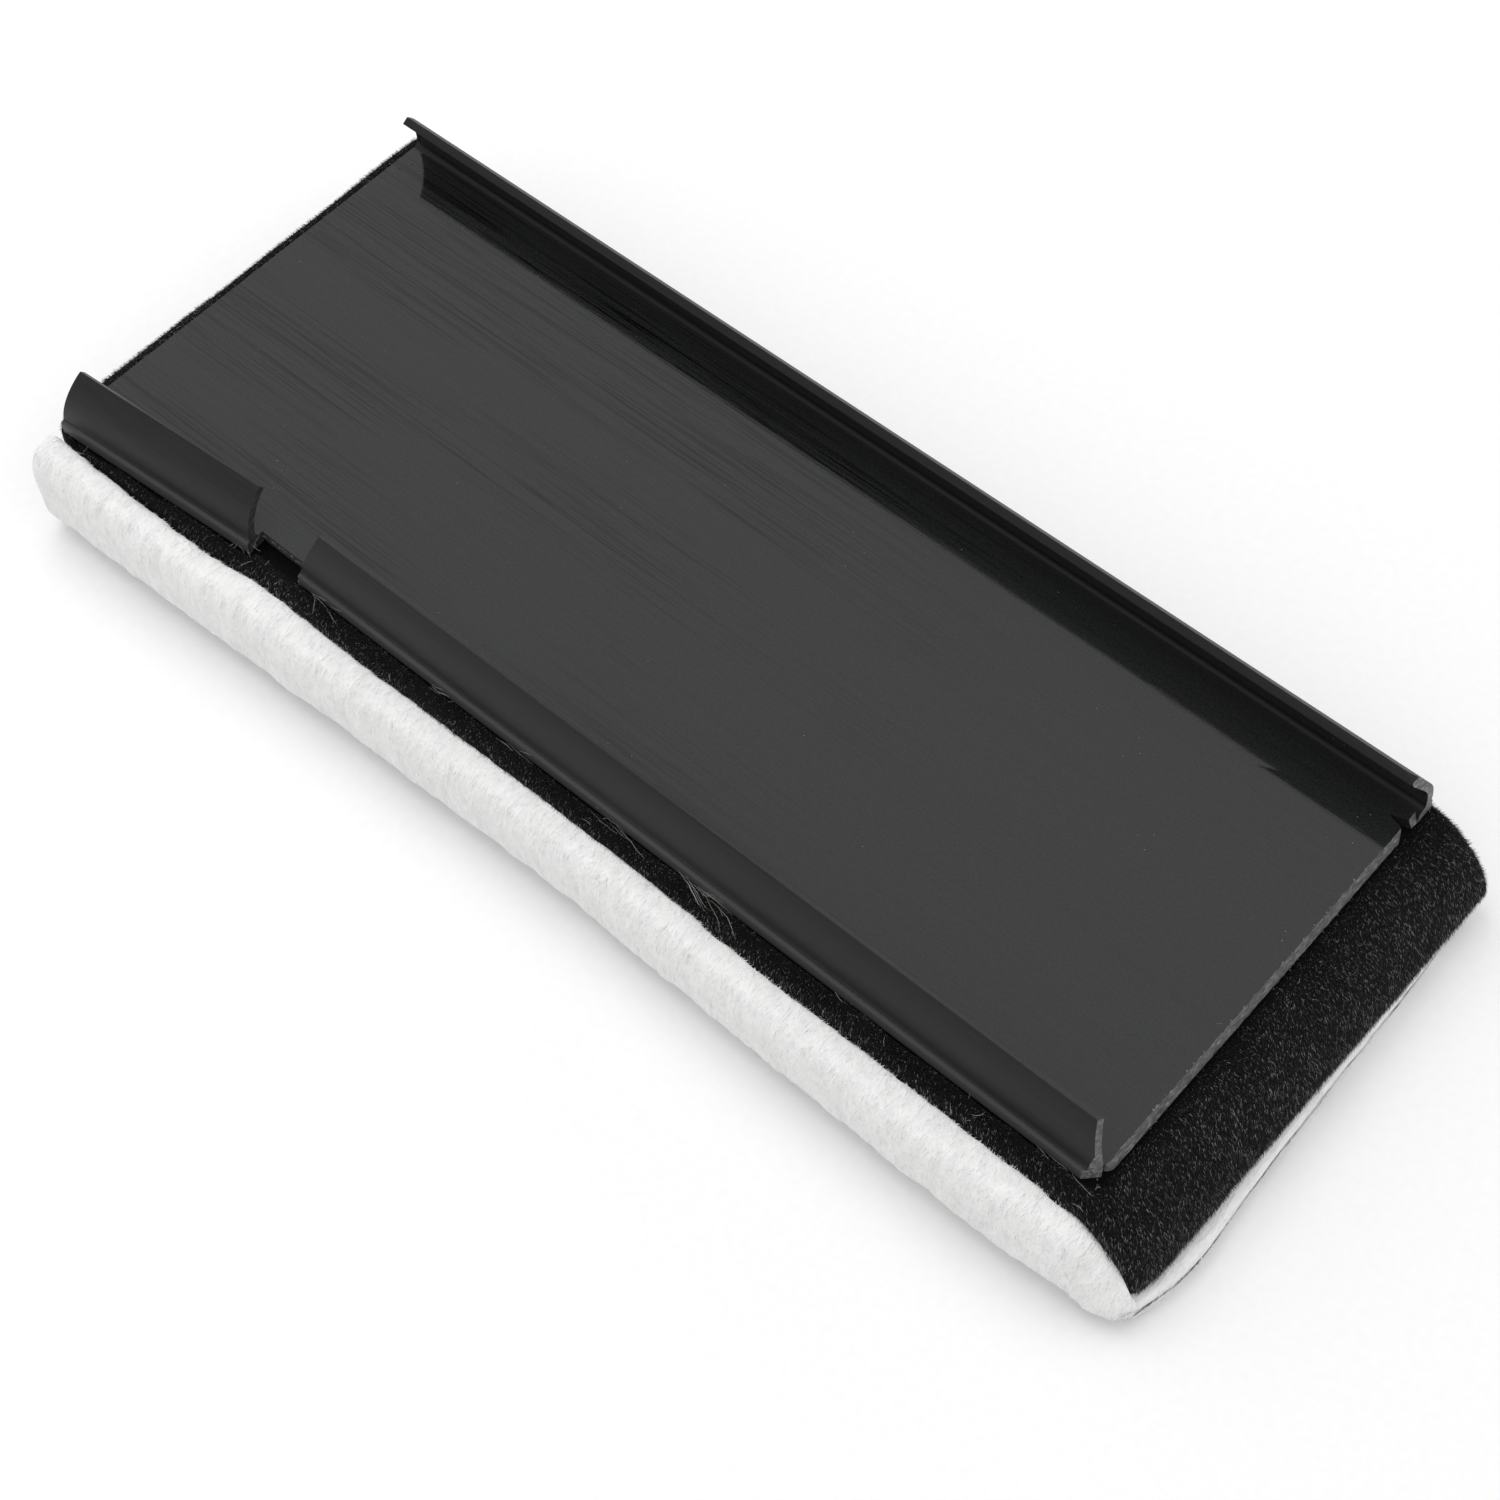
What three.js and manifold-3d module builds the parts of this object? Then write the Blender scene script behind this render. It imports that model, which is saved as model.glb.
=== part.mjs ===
// Chalkboard eraser: a black extruded channel back on a velour-covered foam pad, with white plush
// glued under the pad and turned up along its near long side.
// Millimetres. +X runs along the length, +Y across to the far side, +Z up. The origin is on the
// floor, below the middle of the eraser.

import * as THREE from 'three';
import { mergeVertices } from 'three/addons/utils/BufferGeometryUtils.js';
import Module from 'manifold-3d';

const wasm = await Module();
wasm.setup();

const GAP = 0.3;

// Channel back: its near-left foot corner, its plate and its two leaning flanges.
const CHANNEL_LEFT = -88.6;
const CHANNEL_NEAR = -28.1;
const CHANNEL_LENGTH = 170;
const CHANNEL_WIDTH = 65;
const PLATE_TOP = 16.3;
const PLATE_THICKNESS = 1.9;
const PLATE_CORNER_RADIUS = 1.6;
const NEAR_RISE = 7.8;
const FAR_RISE = 8.4;
const FLANGE_WALL = 1.15;
const FLANGE_FILLET = 0.8;
const FLANGE_BASE_STRIP = 8;
const NEAR_REACH = 2.8;
const FAR_REACH = 4.0;
const STUB_REACH = 4.2;
const FOOT_LIP = 0.5;
const FOOT_HEIGHT = 1.7;
const ARC_STEPS = 10;

// The saw notch that parts the near flange into a short stub and a long run.
const NOTCH_LEFT = 33.9;
const NOTCH_RIGHT = 42.4;
const NOTCH_RIGHT_AT_TIP = 45.2;
const NOTCH_BITE = 1.6;
const STUB_SPLAY = THREE.MathUtils.degToRad(3.8);
const STUB_STEP_OUT = 0.8;

// Set-back of the flange tips at the sawn ends, and the rounded far right tip.
const NEAR_RIGHT_SETBACK = 3.0;
const FAR_LEFT_SETBACK = 2.0;
const NEAR_LEFT_SETBACK = 1.8;
const FAR_RIGHT_TIP_RADIUS = 3.2;

// Soft stack, from the floor up.
const PILE_THICKNESS = 3.8;
const BACKING_THICKNESS = 0.8;
const FILM_THICKNESS = 0.4;
const COVER_THICKNESS = 1.2;
const PAD_LEFT = -91.6;
const PAD_RIGHT = 91.0;
const PAD_NEAR = -31.4;
const PAD_FAR = 38.3;
const PAD_BEND_START = 79.1;
const PAD_BEND_POWER = 1.6;
const PAD_BEND_STEPS = 10;
const FILM_MARGIN = 3;

// Plush roll along the near side: widest and highest at the left end, narrowest at its middle.
const ROLL_OUT_LEFT = 5.5;
const ROLL_OUT_MIDDLE = 3.2;
const ROLL_OUT_RIGHT = 3.9;
const ROLL_TOP_LEFT = 15.8;
const ROLL_TOP_RIGHT = 13.6;
const ROLL_STATIONS = 16;
const ROLL_TAPER_START = 0.93;
const ROLL_TAPER_KEEP = 0.45;
const ROLL_BOTTOM_RADIUS = 8;
const BACKING_TOP = 8.6;
const PILE_LEFT = -88.3;
const PILE_RIGHT = 91.6;
const PILE_END_RADIUS = 3;
const PILE_FAR_RADIUS = 2;

const BACKING_BOTTOM = PILE_THICKNESS + GAP;
const LOWER_FILM_BOTTOM = BACKING_BOTTOM + BACKING_THICKNESS + GAP;
const CORE_BOTTOM = LOWER_FILM_BOTTOM + FILM_THICKNESS + GAP;
const PLATE_BOTTOM = PLATE_TOP - PLATE_THICKNESS;
const UPPER_FILM_BOTTOM = PLATE_BOTTOM - GAP - FILM_THICKNESS;
const COVER_TOP = UPPER_FILM_BOTTOM - GAP;
const COVER_BOTTOM = LOWER_FILM_BOTTOM;
const ROLL_INNER = PAD_NEAR - GAP - BACKING_THICKNESS - GAP;

const BLACK_PLASTIC = { color: 0x232525, roughness: 0.22, metalness: 0 };
const CLEAR_GLUE = { color: 0xb9b6a8, roughness: 0.35, metalness: 0 };
const BLACK_VELOUR = { color: 0x121313, roughness: 0.95, metalness: 0 };
const GREY_FOAM = { color: 0x5a5b5b, roughness: 0.95, metalness: 0 };
const BACKING_CLOTH = { color: 0xc9c7c0, roughness: 0.9, metalness: 0 };
const WHITE_PILE = { color: 0xe9e9e6, roughness: 0.95, metalness: 0 };

function toShape(points) {
  return new THREE.Shape(points.map(([a, b]) => new THREE.Vector2(a, b)));
}

function extrude(points, depth, steps = 1) {
  return new THREE.ExtrudeGeometry(toShape(points), { depth, steps, bevelEnabled: false });
}

// Prism of a [y, z] outline from x0 to x1.
function prismAlongX(points, x0, x1, steps = 1) {
  const geometry = extrude(points, x1 - x0, steps);
  const basis = new THREE.Matrix4().makeBasis(
    new THREE.Vector3(0, 1, 0),
    new THREE.Vector3(0, 0, 1),
    new THREE.Vector3(1, 0, 0),
  );
  geometry.applyMatrix4(basis);
  geometry.translate(x0, 0, 0);
  return geometry;
}

// Prism of an [x, z] outline from y0 to y1.
function prismAlongY(points, y0, y1) {
  const geometry = extrude(points, y1 - y0);
  geometry.rotateX(Math.PI / 2);
  geometry.translate(0, y1, 0);
  return geometry;
}

// Prism of an [x, y] outline from z0 to z1.
function prismAlongZ(points, z0, z1) {
  const geometry = extrude(points, z1 - z0);
  geometry.translate(0, 0, z0);
  return geometry;
}

function box(x0, x1, y0, y1, z0, z1) {
  const geometry = new THREE.BoxGeometry(x1 - x0, y1 - y0, z1 - z0);
  geometry.translate((x0 + x1) / 2, (y0 + y1) / 2, (z0 + z1) / 2);
  return geometry;
}

function solid(geometry) {
  const bare = geometry.clone();
  bare.deleteAttribute('normal');
  bare.deleteAttribute('uv');
  const merged = mergeVertices(bare, 1e-4);
  const mesh = new wasm.Mesh({
    numProp: 3,
    vertProperties: new Float32Array(merged.attributes.position.array),
    triVerts: new Uint32Array(merged.index.array),
  });
  return new wasm.Manifold(mesh);
}

function geometryOf(manifold) {
  const mesh = manifold.getMesh();
  const geometry = new THREE.BufferGeometry();
  geometry.setAttribute('position', new THREE.BufferAttribute(new Float32Array(mesh.vertProperties), 3));
  geometry.setIndex(new THREE.BufferAttribute(new Uint32Array(mesh.triVerts), 1));
  geometry.computeVertexNormals();
  return geometry;
}

function part(name, geometry, look) {
  const mesh = new THREE.Mesh(geometry, new THREE.MeshStandardMaterial(look));
  mesh.name = name;
  return mesh;
}

function arc(cx, cy, rx, ry, from, to, steps) {
  const points = [];
  for (let i = 0; i <= steps; i += 1) {
    const angle = THREE.MathUtils.degToRad(from + ((to - from) * i) / steps);
    points.push([cx + rx * Math.cos(angle), cy + ry * Math.sin(angle)]);
  }
  return points;
}

// Flange outline as [inward from the foot, up from the plate's underside]: a stepped foot, a wall
// that starts upright and leans in along an arc, and a strip of plate to join to.
function flangeOutline(reach, rise) {
  const base = FOOT_HEIGHT + FOOT_LIP;
  const lean = reach - FOOT_LIP;
  const climb = PLATE_THICKNESS + rise - base;
  const radius = (lean * lean + climb * climb) / (2 * lean);
  const sweep = THREE.MathUtils.radToDeg(Math.asin(climb / radius));
  const inner = radius - FLANGE_WALL;
  const filletTop = PLATE_THICKNESS + FLANGE_FILLET;
  const start = THREE.MathUtils.radToDeg(Math.asin((filletTop - base) / inner));
  const root = FOOT_LIP + FLANGE_WALL;
  return [
    [FLANGE_BASE_STRIP, 0],
    [0, 0],
    ...arc(FOOT_LIP, FOOT_HEIGHT, FOOT_LIP, FOOT_LIP, 180, 90, 4).slice(0, -1),
    ...arc(FOOT_LIP + radius, base, radius, radius, 180, 180 - sweep, ARC_STEPS),
    ...arc(FOOT_LIP + radius, base, inner, inner, 180 - sweep, 180 - start, ARC_STEPS),
    ...arc(root + FLANGE_FILLET, filletTop, FLANGE_FILLET, FLANGE_FILLET, 180, 270, 4).slice(1),
    [FLANGE_BASE_STRIP, PLATE_THICKNESS],
  ];
}

function channelX(along) {
  return CHANNEL_LEFT + along;
}

function channelY(inward) {
  return CHANNEL_NEAR + inward;
}

function nearFlange(reach, from, to) {
  const outline = flangeOutline(reach, NEAR_RISE).map(([u, v]) => [channelY(u), PLATE_BOTTOM + v]);
  return prismAlongX(outline, channelX(from), channelX(to));
}

function farFlange() {
  const outline = flangeOutline(FAR_REACH, FAR_RISE)
    .map(([u, v]) => [channelY(CHANNEL_WIDTH - u), PLATE_BOTTOM + v]);
  return prismAlongX(outline, channelX(0), channelX(CHANNEL_LENGTH));
}

// The stub is swung about its notch end, so its left end stands outside the long run.
function stubFlange() {
  const geometry = nearFlange(STUB_REACH, -3, NOTCH_LEFT);
  const pivot = new THREE.Vector3(channelX(NOTCH_LEFT), channelY(0), 0);
  geometry.translate(-pivot.x, -pivot.y, 0);
  geometry.rotateZ(STUB_SPLAY);
  geometry.translate(pivot.x, pivot.y - STUB_STEP_OUT, 0);
  return geometry;
}

function plate() {
  const outline = [
    [channelX(0), channelY(2)],
    [channelX(CHANNEL_LENGTH), channelY(2)],
    [channelX(CHANNEL_LENGTH), channelY(CHANNEL_WIDTH - 2)],
    [channelX(0), channelY(CHANNEL_WIDTH - 2)],
  ];
  return prismAlongZ(outline, PLATE_BOTTOM, PLATE_TOP);
}

function notchCutters() {
  const high = PLATE_TOP + NEAR_RISE + 2;
  const low = PLATE_BOTTOM - 2;
  const throughFlange = [
    [channelX(NOTCH_LEFT), low],
    [channelX(NOTCH_RIGHT), low],
    [channelX(NOTCH_RIGHT), PLATE_TOP],
    [channelX(NOTCH_RIGHT_AT_TIP), PLATE_TOP + NEAR_RISE],
    [channelX(NOTCH_RIGHT_AT_TIP), high],
    [channelX(NOTCH_LEFT), high],
  ];
  const edgeBite = prismAlongY(throughFlange, channelY(-6), channelY(NOTCH_BITE));
  const flangeGap = solid(prismAlongY(throughFlange, channelY(0), channelY(FLANGE_BASE_STRIP)))
    .intersect(solid(box(-100, 100, -60, 60, PLATE_TOP, high)));
  return [solid(edgeBite), flangeGap];
}

// Wedge that sets a flange tip back from a sawn end; side is -1 at the left end, +1 at the right.
function endWedge(side, setback, inward0, inward1) {
  const end = side < 0 ? channelX(0) : channelX(CHANNEL_LENGTH);
  const out = end + side * 3;
  const tip = PLATE_TOP + FAR_RISE;
  const outline = [
    [end, PLATE_TOP],
    [end - side * setback, tip],
    [end - side * setback, tip + 1],
    [out, tip + 1],
    [out, PLATE_TOP],
  ];
  return solid(prismAlongY(outline, channelY(inward0), channelY(inward1)));
}

function farRightRounding() {
  const end = channelX(CHANNEL_LENGTH);
  const tip = PLATE_TOP + FAR_RISE;
  const radius = FAR_RIGHT_TIP_RADIUS;
  const outline = [
    ...arc(end - radius, tip - radius, radius, radius, 90, 0, 6),
    [end + 1, tip - radius],
    [end + 1, tip + 1],
    [end - radius, tip + 1],
  ];
  return solid(prismAlongY(outline, channelY(CHANNEL_WIDTH - 9), channelY(CHANNEL_WIDTH + 1)));
}

// Relief nicks between plate and flanges at the right end, with the plate's corners rounded off.
function rightNicks() {
  const end = CHANNEL_LENGTH;
  const radius = PLATE_CORNER_RADIUS;
  const farRoot = CHANNEL_WIDTH - 3.2;
  const farNick = [
    [end + 1, farRoot],
    [end - 0.5, farRoot - 0.9],
    [end - 2.8, farRoot - 1.8],
    ...arc(end - radius, farRoot - 2.2 - radius, radius, radius, 90, 0, 5),
    [end + 1, farRoot - 2.2 - radius],
  ];
  const nearRoot = 1.7;
  const nearNick = [
    [end + 1, nearRoot],
    [end + 1, nearRoot + 0.5 + radius],
    ...arc(end - radius, nearRoot + 0.5 + radius, radius, radius, 0, -90, 5),
    [end - 2.2, nearRoot + 0.3],
    [end - 0.4, nearRoot],
  ];
  return [farNick, nearNick].map((outline) => {
    const placed = outline.map(([u, v]) => [channelX(u), channelY(v)]);
    return solid(prismAlongZ(placed, PLATE_BOTTOM - 1, PLATE_TOP + 1.6));
  });
}

function channelBack() {
  const longRun = solid(nearFlange(NEAR_REACH, NOTCH_RIGHT - 1, CHANNEL_LENGTH));
  let body = solid(plate()).add(solid(farFlange())).add(longRun).add(solid(stubFlange()));
  const cutters = [
    ...notchCutters(),
    endWedge(1, NEAR_RIGHT_SETBACK, -1, 9),
    endWedge(-1, FAR_LEFT_SETBACK, CHANNEL_WIDTH - 9, CHANNEL_WIDTH + 1),
    endWedge(-1, NEAR_LEFT_SETBACK, -6, 9),
    farRightRounding(),
    ...rightNicks(),
    solid(box(channelX(-6), channelX(0), -60, 60, PLATE_BOTTOM - 1, PLATE_TOP + 12)),
  ];
  for (const cutter of cutters) body = body.subtract(cutter);
  return part('channel_back', geometryOf(body), BLACK_PLASTIC);
}

function upperGlueFilm() {
  const geometry = box(
    channelX(FILM_MARGIN),
    channelX(CHANNEL_LENGTH - FILM_MARGIN),
    channelY(FILM_MARGIN),
    channelY(CHANNEL_WIDTH - FILM_MARGIN),
    UPPER_FILM_BOTTOM,
    UPPER_FILM_BOTTOM + FILM_THICKNESS,
  );
  return part('upper_glue_film', geometry, CLEAR_GLUE);
}

// Side view of the pad: square at the left end, bent down over the right end. Inset shrinks it.
function padOutline(inset, bottom) {
  const top = COVER_TOP - inset;
  const right = PAD_RIGHT - inset;
  const bend = [];
  for (let i = 0; i <= PAD_BEND_STEPS; i += 1) {
    const angle = (Math.PI / 2) * (1 - i / PAD_BEND_STEPS);
    const power = 2 / PAD_BEND_POWER;
    const x = PAD_BEND_START + (right - PAD_BEND_START) * Math.cos(angle) ** power;
    const z = COVER_BOTTOM + (top - COVER_BOTTOM) * Math.sin(angle) ** power;
    bend.push([x, z]);
  }
  const floor = bottom < COVER_BOTTOM ? [[right, bottom]] : [];
  return [[PAD_LEFT + inset, bottom], [PAD_LEFT + inset, top], ...bend, ...floor];
}

function velourCover() {
  const outer = solid(prismAlongY(padOutline(0, COVER_BOTTOM), PAD_NEAR, PAD_FAR));
  const inside = prismAlongY(
    padOutline(COVER_THICKNESS, COVER_BOTTOM - 2),
    PAD_NEAR + COVER_THICKNESS,
    PAD_FAR - COVER_THICKNESS,
  );
  return part('velour_cover', geometryOf(outer.subtract(solid(inside))), BLACK_VELOUR);
}

function foamCore() {
  const inset = COVER_THICKNESS + GAP;
  const whole = solid(prismAlongY(padOutline(inset, COVER_BOTTOM), PAD_NEAR + inset, PAD_FAR - inset));
  const above = solid(box(-100, 100, -60, 60, CORE_BOTTOM, COVER_TOP));
  return part('foam_core', geometryOf(whole.intersect(above)), GREY_FOAM);
}

function lowerGlueFilm() {
  const inset = COVER_THICKNESS + FILM_MARGIN;
  const geometry = box(
    PAD_LEFT + inset,
    PAD_RIGHT - inset,
    PAD_NEAR + inset,
    PAD_FAR - inset,
    LOWER_FILM_BOTTOM,
    LOWER_FILM_BOTTOM + FILM_THICKNESS,
  );
  return part('lower_glue_film', geometry, CLEAR_GLUE);
}

// Knitted ground cloth of the plush: flat under the pad and turned up along its near side.
function plushBacking() {
  const outerFace = PAD_NEAR - GAP - BACKING_THICKNESS;
  const top = BACKING_BOTTOM + BACKING_THICKNESS;
  const outline = [
    [PAD_FAR - 1, BACKING_BOTTOM],
    [outerFace, BACKING_BOTTOM],
    [outerFace, BACKING_TOP],
    [outerFace + BACKING_THICKNESS, BACKING_TOP],
    [outerFace + BACKING_THICKNESS, top],
    [PAD_FAR - 1, top],
  ];
  return part('plush_backing', prismAlongX(outline, PILE_LEFT + 1, PAD_RIGHT - 1), BACKING_CLOTH);
}

// The roll shrinks to this share of its size over its last stretch; along runs from 0 to 1.
function rollTaper(along) {
  return 1 - (1 - ROLL_TAPER_KEEP) * THREE.MathUtils.smoothstep(along, ROLL_TAPER_START, 1);
}

// How far the roll stands out, from 0 at the left end to 1 at the right.
function rollOut(along) {
  const toMiddle = THREE.MathUtils.smoothstep(along, 0, 0.5);
  const toRight = THREE.MathUtils.smoothstep(along, 0.5, 0.75);
  const out = ROLL_OUT_LEFT
    + (ROLL_OUT_MIDDLE - ROLL_OUT_LEFT) * toMiddle
    + (ROLL_OUT_RIGHT - ROLL_OUT_MIDDLE) * toRight;
  return out * rollTaper(along);
}

// The pile: a flat wiping face with a round turned-up roll along its near side.
function plushPile() {
  const out = ROLL_INNER - ROLL_OUT_LEFT;
  const topRadius = ROLL_OUT_LEFT / 2;
  const far = PAD_FAR - 0.4;
  const outline = [
    [ROLL_INNER, PILE_THICKNESS],
    ...arc(ROLL_INNER - topRadius, ROLL_TOP_LEFT - topRadius, topRadius, topRadius, 0, 180, 12),
    ...arc(out + ROLL_BOTTOM_RADIUS, ROLL_BOTTOM_RADIUS, ROLL_BOTTOM_RADIUS, ROLL_BOTTOM_RADIUS, 180, 270, 8),
    ...arc(far - PILE_FAR_RADIUS, PILE_FAR_RADIUS, PILE_FAR_RADIUS, PILE_FAR_RADIUS, 270, 360, 5),
    [far, PILE_THICKNESS],
  ];
  const geometry = prismAlongX(outline, PILE_LEFT, PILE_RIGHT, ROLL_STATIONS);
  const position = geometry.attributes.position;
  const riseEnd = (ROLL_TOP_RIGHT - PILE_THICKNESS) / (ROLL_TOP_LEFT - PILE_THICKNESS);
  for (let i = 0; i < position.count; i += 1) {
    const along = (position.getX(i) - PILE_LEFT) / (PILE_RIGHT - PILE_LEFT);
    const outwards = position.getY(i) - ROLL_INNER;
    const rise = position.getZ(i) - PILE_THICKNESS;
    if (outwards < 0) position.setY(i, ROLL_INNER + (outwards * rollOut(along)) / ROLL_OUT_LEFT);
    if (rise > 0) {
      const kept = THREE.MathUtils.lerp(1, riseEnd, along) * rollTaper(along);
      position.setZ(i, PILE_THICKNESS + rise * kept);
    }
  }
  const radius = PILE_END_RADIUS;
  const sideView = [
    ...arc(PILE_LEFT + radius, radius, radius, radius, 180, 270, 6),
    ...arc(PILE_RIGHT - radius, radius, radius, radius, 270, 360, 6),
    [PILE_RIGHT, ROLL_TOP_LEFT + 1],
    [PILE_LEFT, ROLL_TOP_LEFT + 1],
  ];
  const body = solid(geometry).intersect(solid(prismAlongY(sideView, -60, 60)));
  return part('plush_pile', geometryOf(body), WHITE_PILE);
}

const eraser = new THREE.Group();
eraser.name = 'chalkboard_eraser';
eraser.add(
  channelBack(),
  upperGlueFilm(),
  velourCover(),
  foamCore(),
  lowerGlueFilm(),
  plushBacking(),
  plushPile(),
);

export default eraser;
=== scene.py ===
"""Chalkboard eraser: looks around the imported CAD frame. Lengths below are millimetres unless a name says
otherwise, and meshes are scaled to metres when they are made."""

import math

import bmesh
import bpy
import numpy as np
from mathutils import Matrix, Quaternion, Vector, noise


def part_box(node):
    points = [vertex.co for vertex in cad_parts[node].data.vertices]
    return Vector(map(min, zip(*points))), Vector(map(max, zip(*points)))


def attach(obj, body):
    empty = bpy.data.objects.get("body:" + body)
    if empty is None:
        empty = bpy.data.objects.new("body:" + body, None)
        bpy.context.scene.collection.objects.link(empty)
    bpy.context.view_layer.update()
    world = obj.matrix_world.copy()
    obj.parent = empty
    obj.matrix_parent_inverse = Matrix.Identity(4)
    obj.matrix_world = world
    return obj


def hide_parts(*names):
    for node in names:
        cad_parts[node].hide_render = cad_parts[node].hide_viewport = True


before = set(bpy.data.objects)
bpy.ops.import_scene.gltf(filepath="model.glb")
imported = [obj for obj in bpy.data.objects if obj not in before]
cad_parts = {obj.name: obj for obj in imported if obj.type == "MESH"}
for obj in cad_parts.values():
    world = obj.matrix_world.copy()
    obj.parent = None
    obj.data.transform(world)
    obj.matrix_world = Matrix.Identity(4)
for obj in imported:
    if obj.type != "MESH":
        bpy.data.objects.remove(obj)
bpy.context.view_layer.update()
MM = 0.001


def node_box(name):
    """Lowest and highest corner of a CAD node, in millimetres."""
    lo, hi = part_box(name)
    return np.array(lo) / MM, np.array(hi) / MM


CHANNEL_LO, CHANNEL_HI = node_box("channel_back")
PAD_LO, PAD_HI = node_box("velour_cover")
PILE_LO, PILE_HI = node_box("plush_pile")
BACKING_LO, BACKING_HI = node_box("plush_backing")

# Channel back, an extruded section 65 mm wide with its two flanges leaning in.
CHANNEL_WIDTH = 65
PLATE_THICKNESS = 1.9
NEAR_RISE = 7.8
FAR_RISE = 8.4
FLANGE_WALL = 1.15
FLANGE_FILLET = 0.8
FLANGE_BASE_STRIP = 8
NEAR_REACH, FAR_REACH, STUB_REACH = 2.8, 4.0, 4.2
FOOT_LIP = 0.5
FOOT_HEIGHT = 1.7
FLANGE_ARC_STEPS = 28
EDGE_BEVEL = 0.13

# Saw notch in the near flange, and the set-backs of the flange tips at the sawn ends.
NOTCH_LEFT = 33.9
NOTCH_RIGHT = 42.4
NOTCH_RIGHT_AT_TIP = 45.2
NOTCH_BITE = 1.6
STUB_SPLAY = math.radians(3.8)
STUB_STEP_OUT = 0.8
NEAR_RIGHT_SETBACK = 3.0
NEAR_LEFT_SETBACK = 1.8
FAR_LEFT_SETBACK = 2.0
FAR_RIGHT_TIP_RADIUS = 3.2
PLATE_CORNER_RADIUS = 1.6

# The channel's four sides, its plate's two faces and the notch's ends: most places below start from these.
LEFT, RIGHT = CHANNEL_LO[0], CHANNEL_HI[0]
FAR = CHANNEL_HI[1]
NEAR = FAR - CHANNEL_WIDTH
BOTTOM = CHANNEL_LO[2]
TOP = BOTTOM + PLATE_THICKNESS
NOTCH_START, NOTCH_END = LEFT + NOTCH_LEFT, LEFT + NOTCH_RIGHT


# ---- small helpers


def add_object(name, mesh):
    obj = bpy.data.objects.new(name, mesh)
    bpy.context.scene.collection.objects.link(obj)
    return obj


def mesh_object(name, verts, faces, materials=(), slots=None, smooth=True):
    """A mesh object from millimetre vertices and a list of faces."""
    mesh = bpy.data.meshes.new(name)
    mesh.from_pydata((np.asarray(verts, float) * MM).tolist(), [], faces)
    for material in materials:
        mesh.materials.append(material)
    if slots is not None:
        mesh.polygons.foreach_set("material_index", np.asarray(slots, np.int32))
    mesh.polygons.foreach_set("use_smooth", np.full(len(mesh.polygons), smooth))
    mesh.update()
    return add_object(name, mesh)


def smoothstep(value, low, high):
    t = np.clip((value - low) / (high - low), 0, 1)
    return t * t * (3 - 2 * t)


def arc(cy, cz, radius, start, end, steps):
    """Points on an arc, angles in degrees."""
    angles = np.radians(np.linspace(start, end, steps + 1))
    return [(cy + radius * math.cos(a), cz + radius * math.sin(a)) for a in angles]


def edit_mesh(obj, *steps):
    """Runs bmesh steps on an object's mesh, one after another."""
    bm = bmesh.new()
    bm.from_mesh(obj.data)
    for step in steps:
        step(bm)
    bm.to_mesh(obj.data)
    bm.free()


def face_outwards(bm):
    bmesh.ops.recalc_face_normals(bm, faces=bm.faces)


def outward(obj):
    edit_mesh(obj, face_outwards)
    return obj


def tube(rings, count):
    """Side faces and end caps of a closed tube, made of rings of count points each."""
    sides = []
    for i in range(rings - 1):
        for j in range(count):
            a, b = i * count + j, i * count + (j + 1) % count
            sides.append((a, a + count, b + count, b))
    last = (rings - 1) * count
    return sides, [tuple(range(count)), tuple(range(last + count - 1, last - 1, -1))]


def prism(name, outline, low, high, place):
    """A closed prism: place(a, b, along) turns an outline point and a length into x, y, z."""
    verts = [place(a, b, along) for along in (low, high) for a, b in outline]
    sides, caps = tube(2, len(outline))
    return outward(mesh_object(name, verts, caps + sides))


def rectangle(a0, b0, a1, b1):
    return [(a0, b0), (a1, b0), (a1, b1), (a0, b1)]


def along_x(y, z, x):
    return (x, y, z)


def along_y(x, z, y):
    return (x, y, z)


def along_z(x, y, z):
    return (x, y, z)


def combine(body, tool, operation):
    """Joins or cuts body with tool, which is removed."""
    step = body.modifiers.new("combine", "BOOLEAN")
    step.operation = operation
    step.solver = "EXACT"
    step.object = tool
    graph = bpy.context.evaluated_depsgraph_get()
    made = bpy.data.meshes.new_from_object(body.evaluated_get(graph))
    body.modifiers.clear()
    body.data = made
    bpy.data.objects.remove(tool)


def finish_piece(obj, replaces=()):
    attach(obj, "root")
    if replaces:
        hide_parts(*replaces)


# ---- materials


def rgba(colour):
    """A grey or rgb colour as four numbers. A node's output passes through unchanged."""
    if isinstance(colour, bpy.types.NodeSocket):
        return colour
    return (*((colour,) * 3 if isinstance(colour, (int, float)) else colour), 1)


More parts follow.
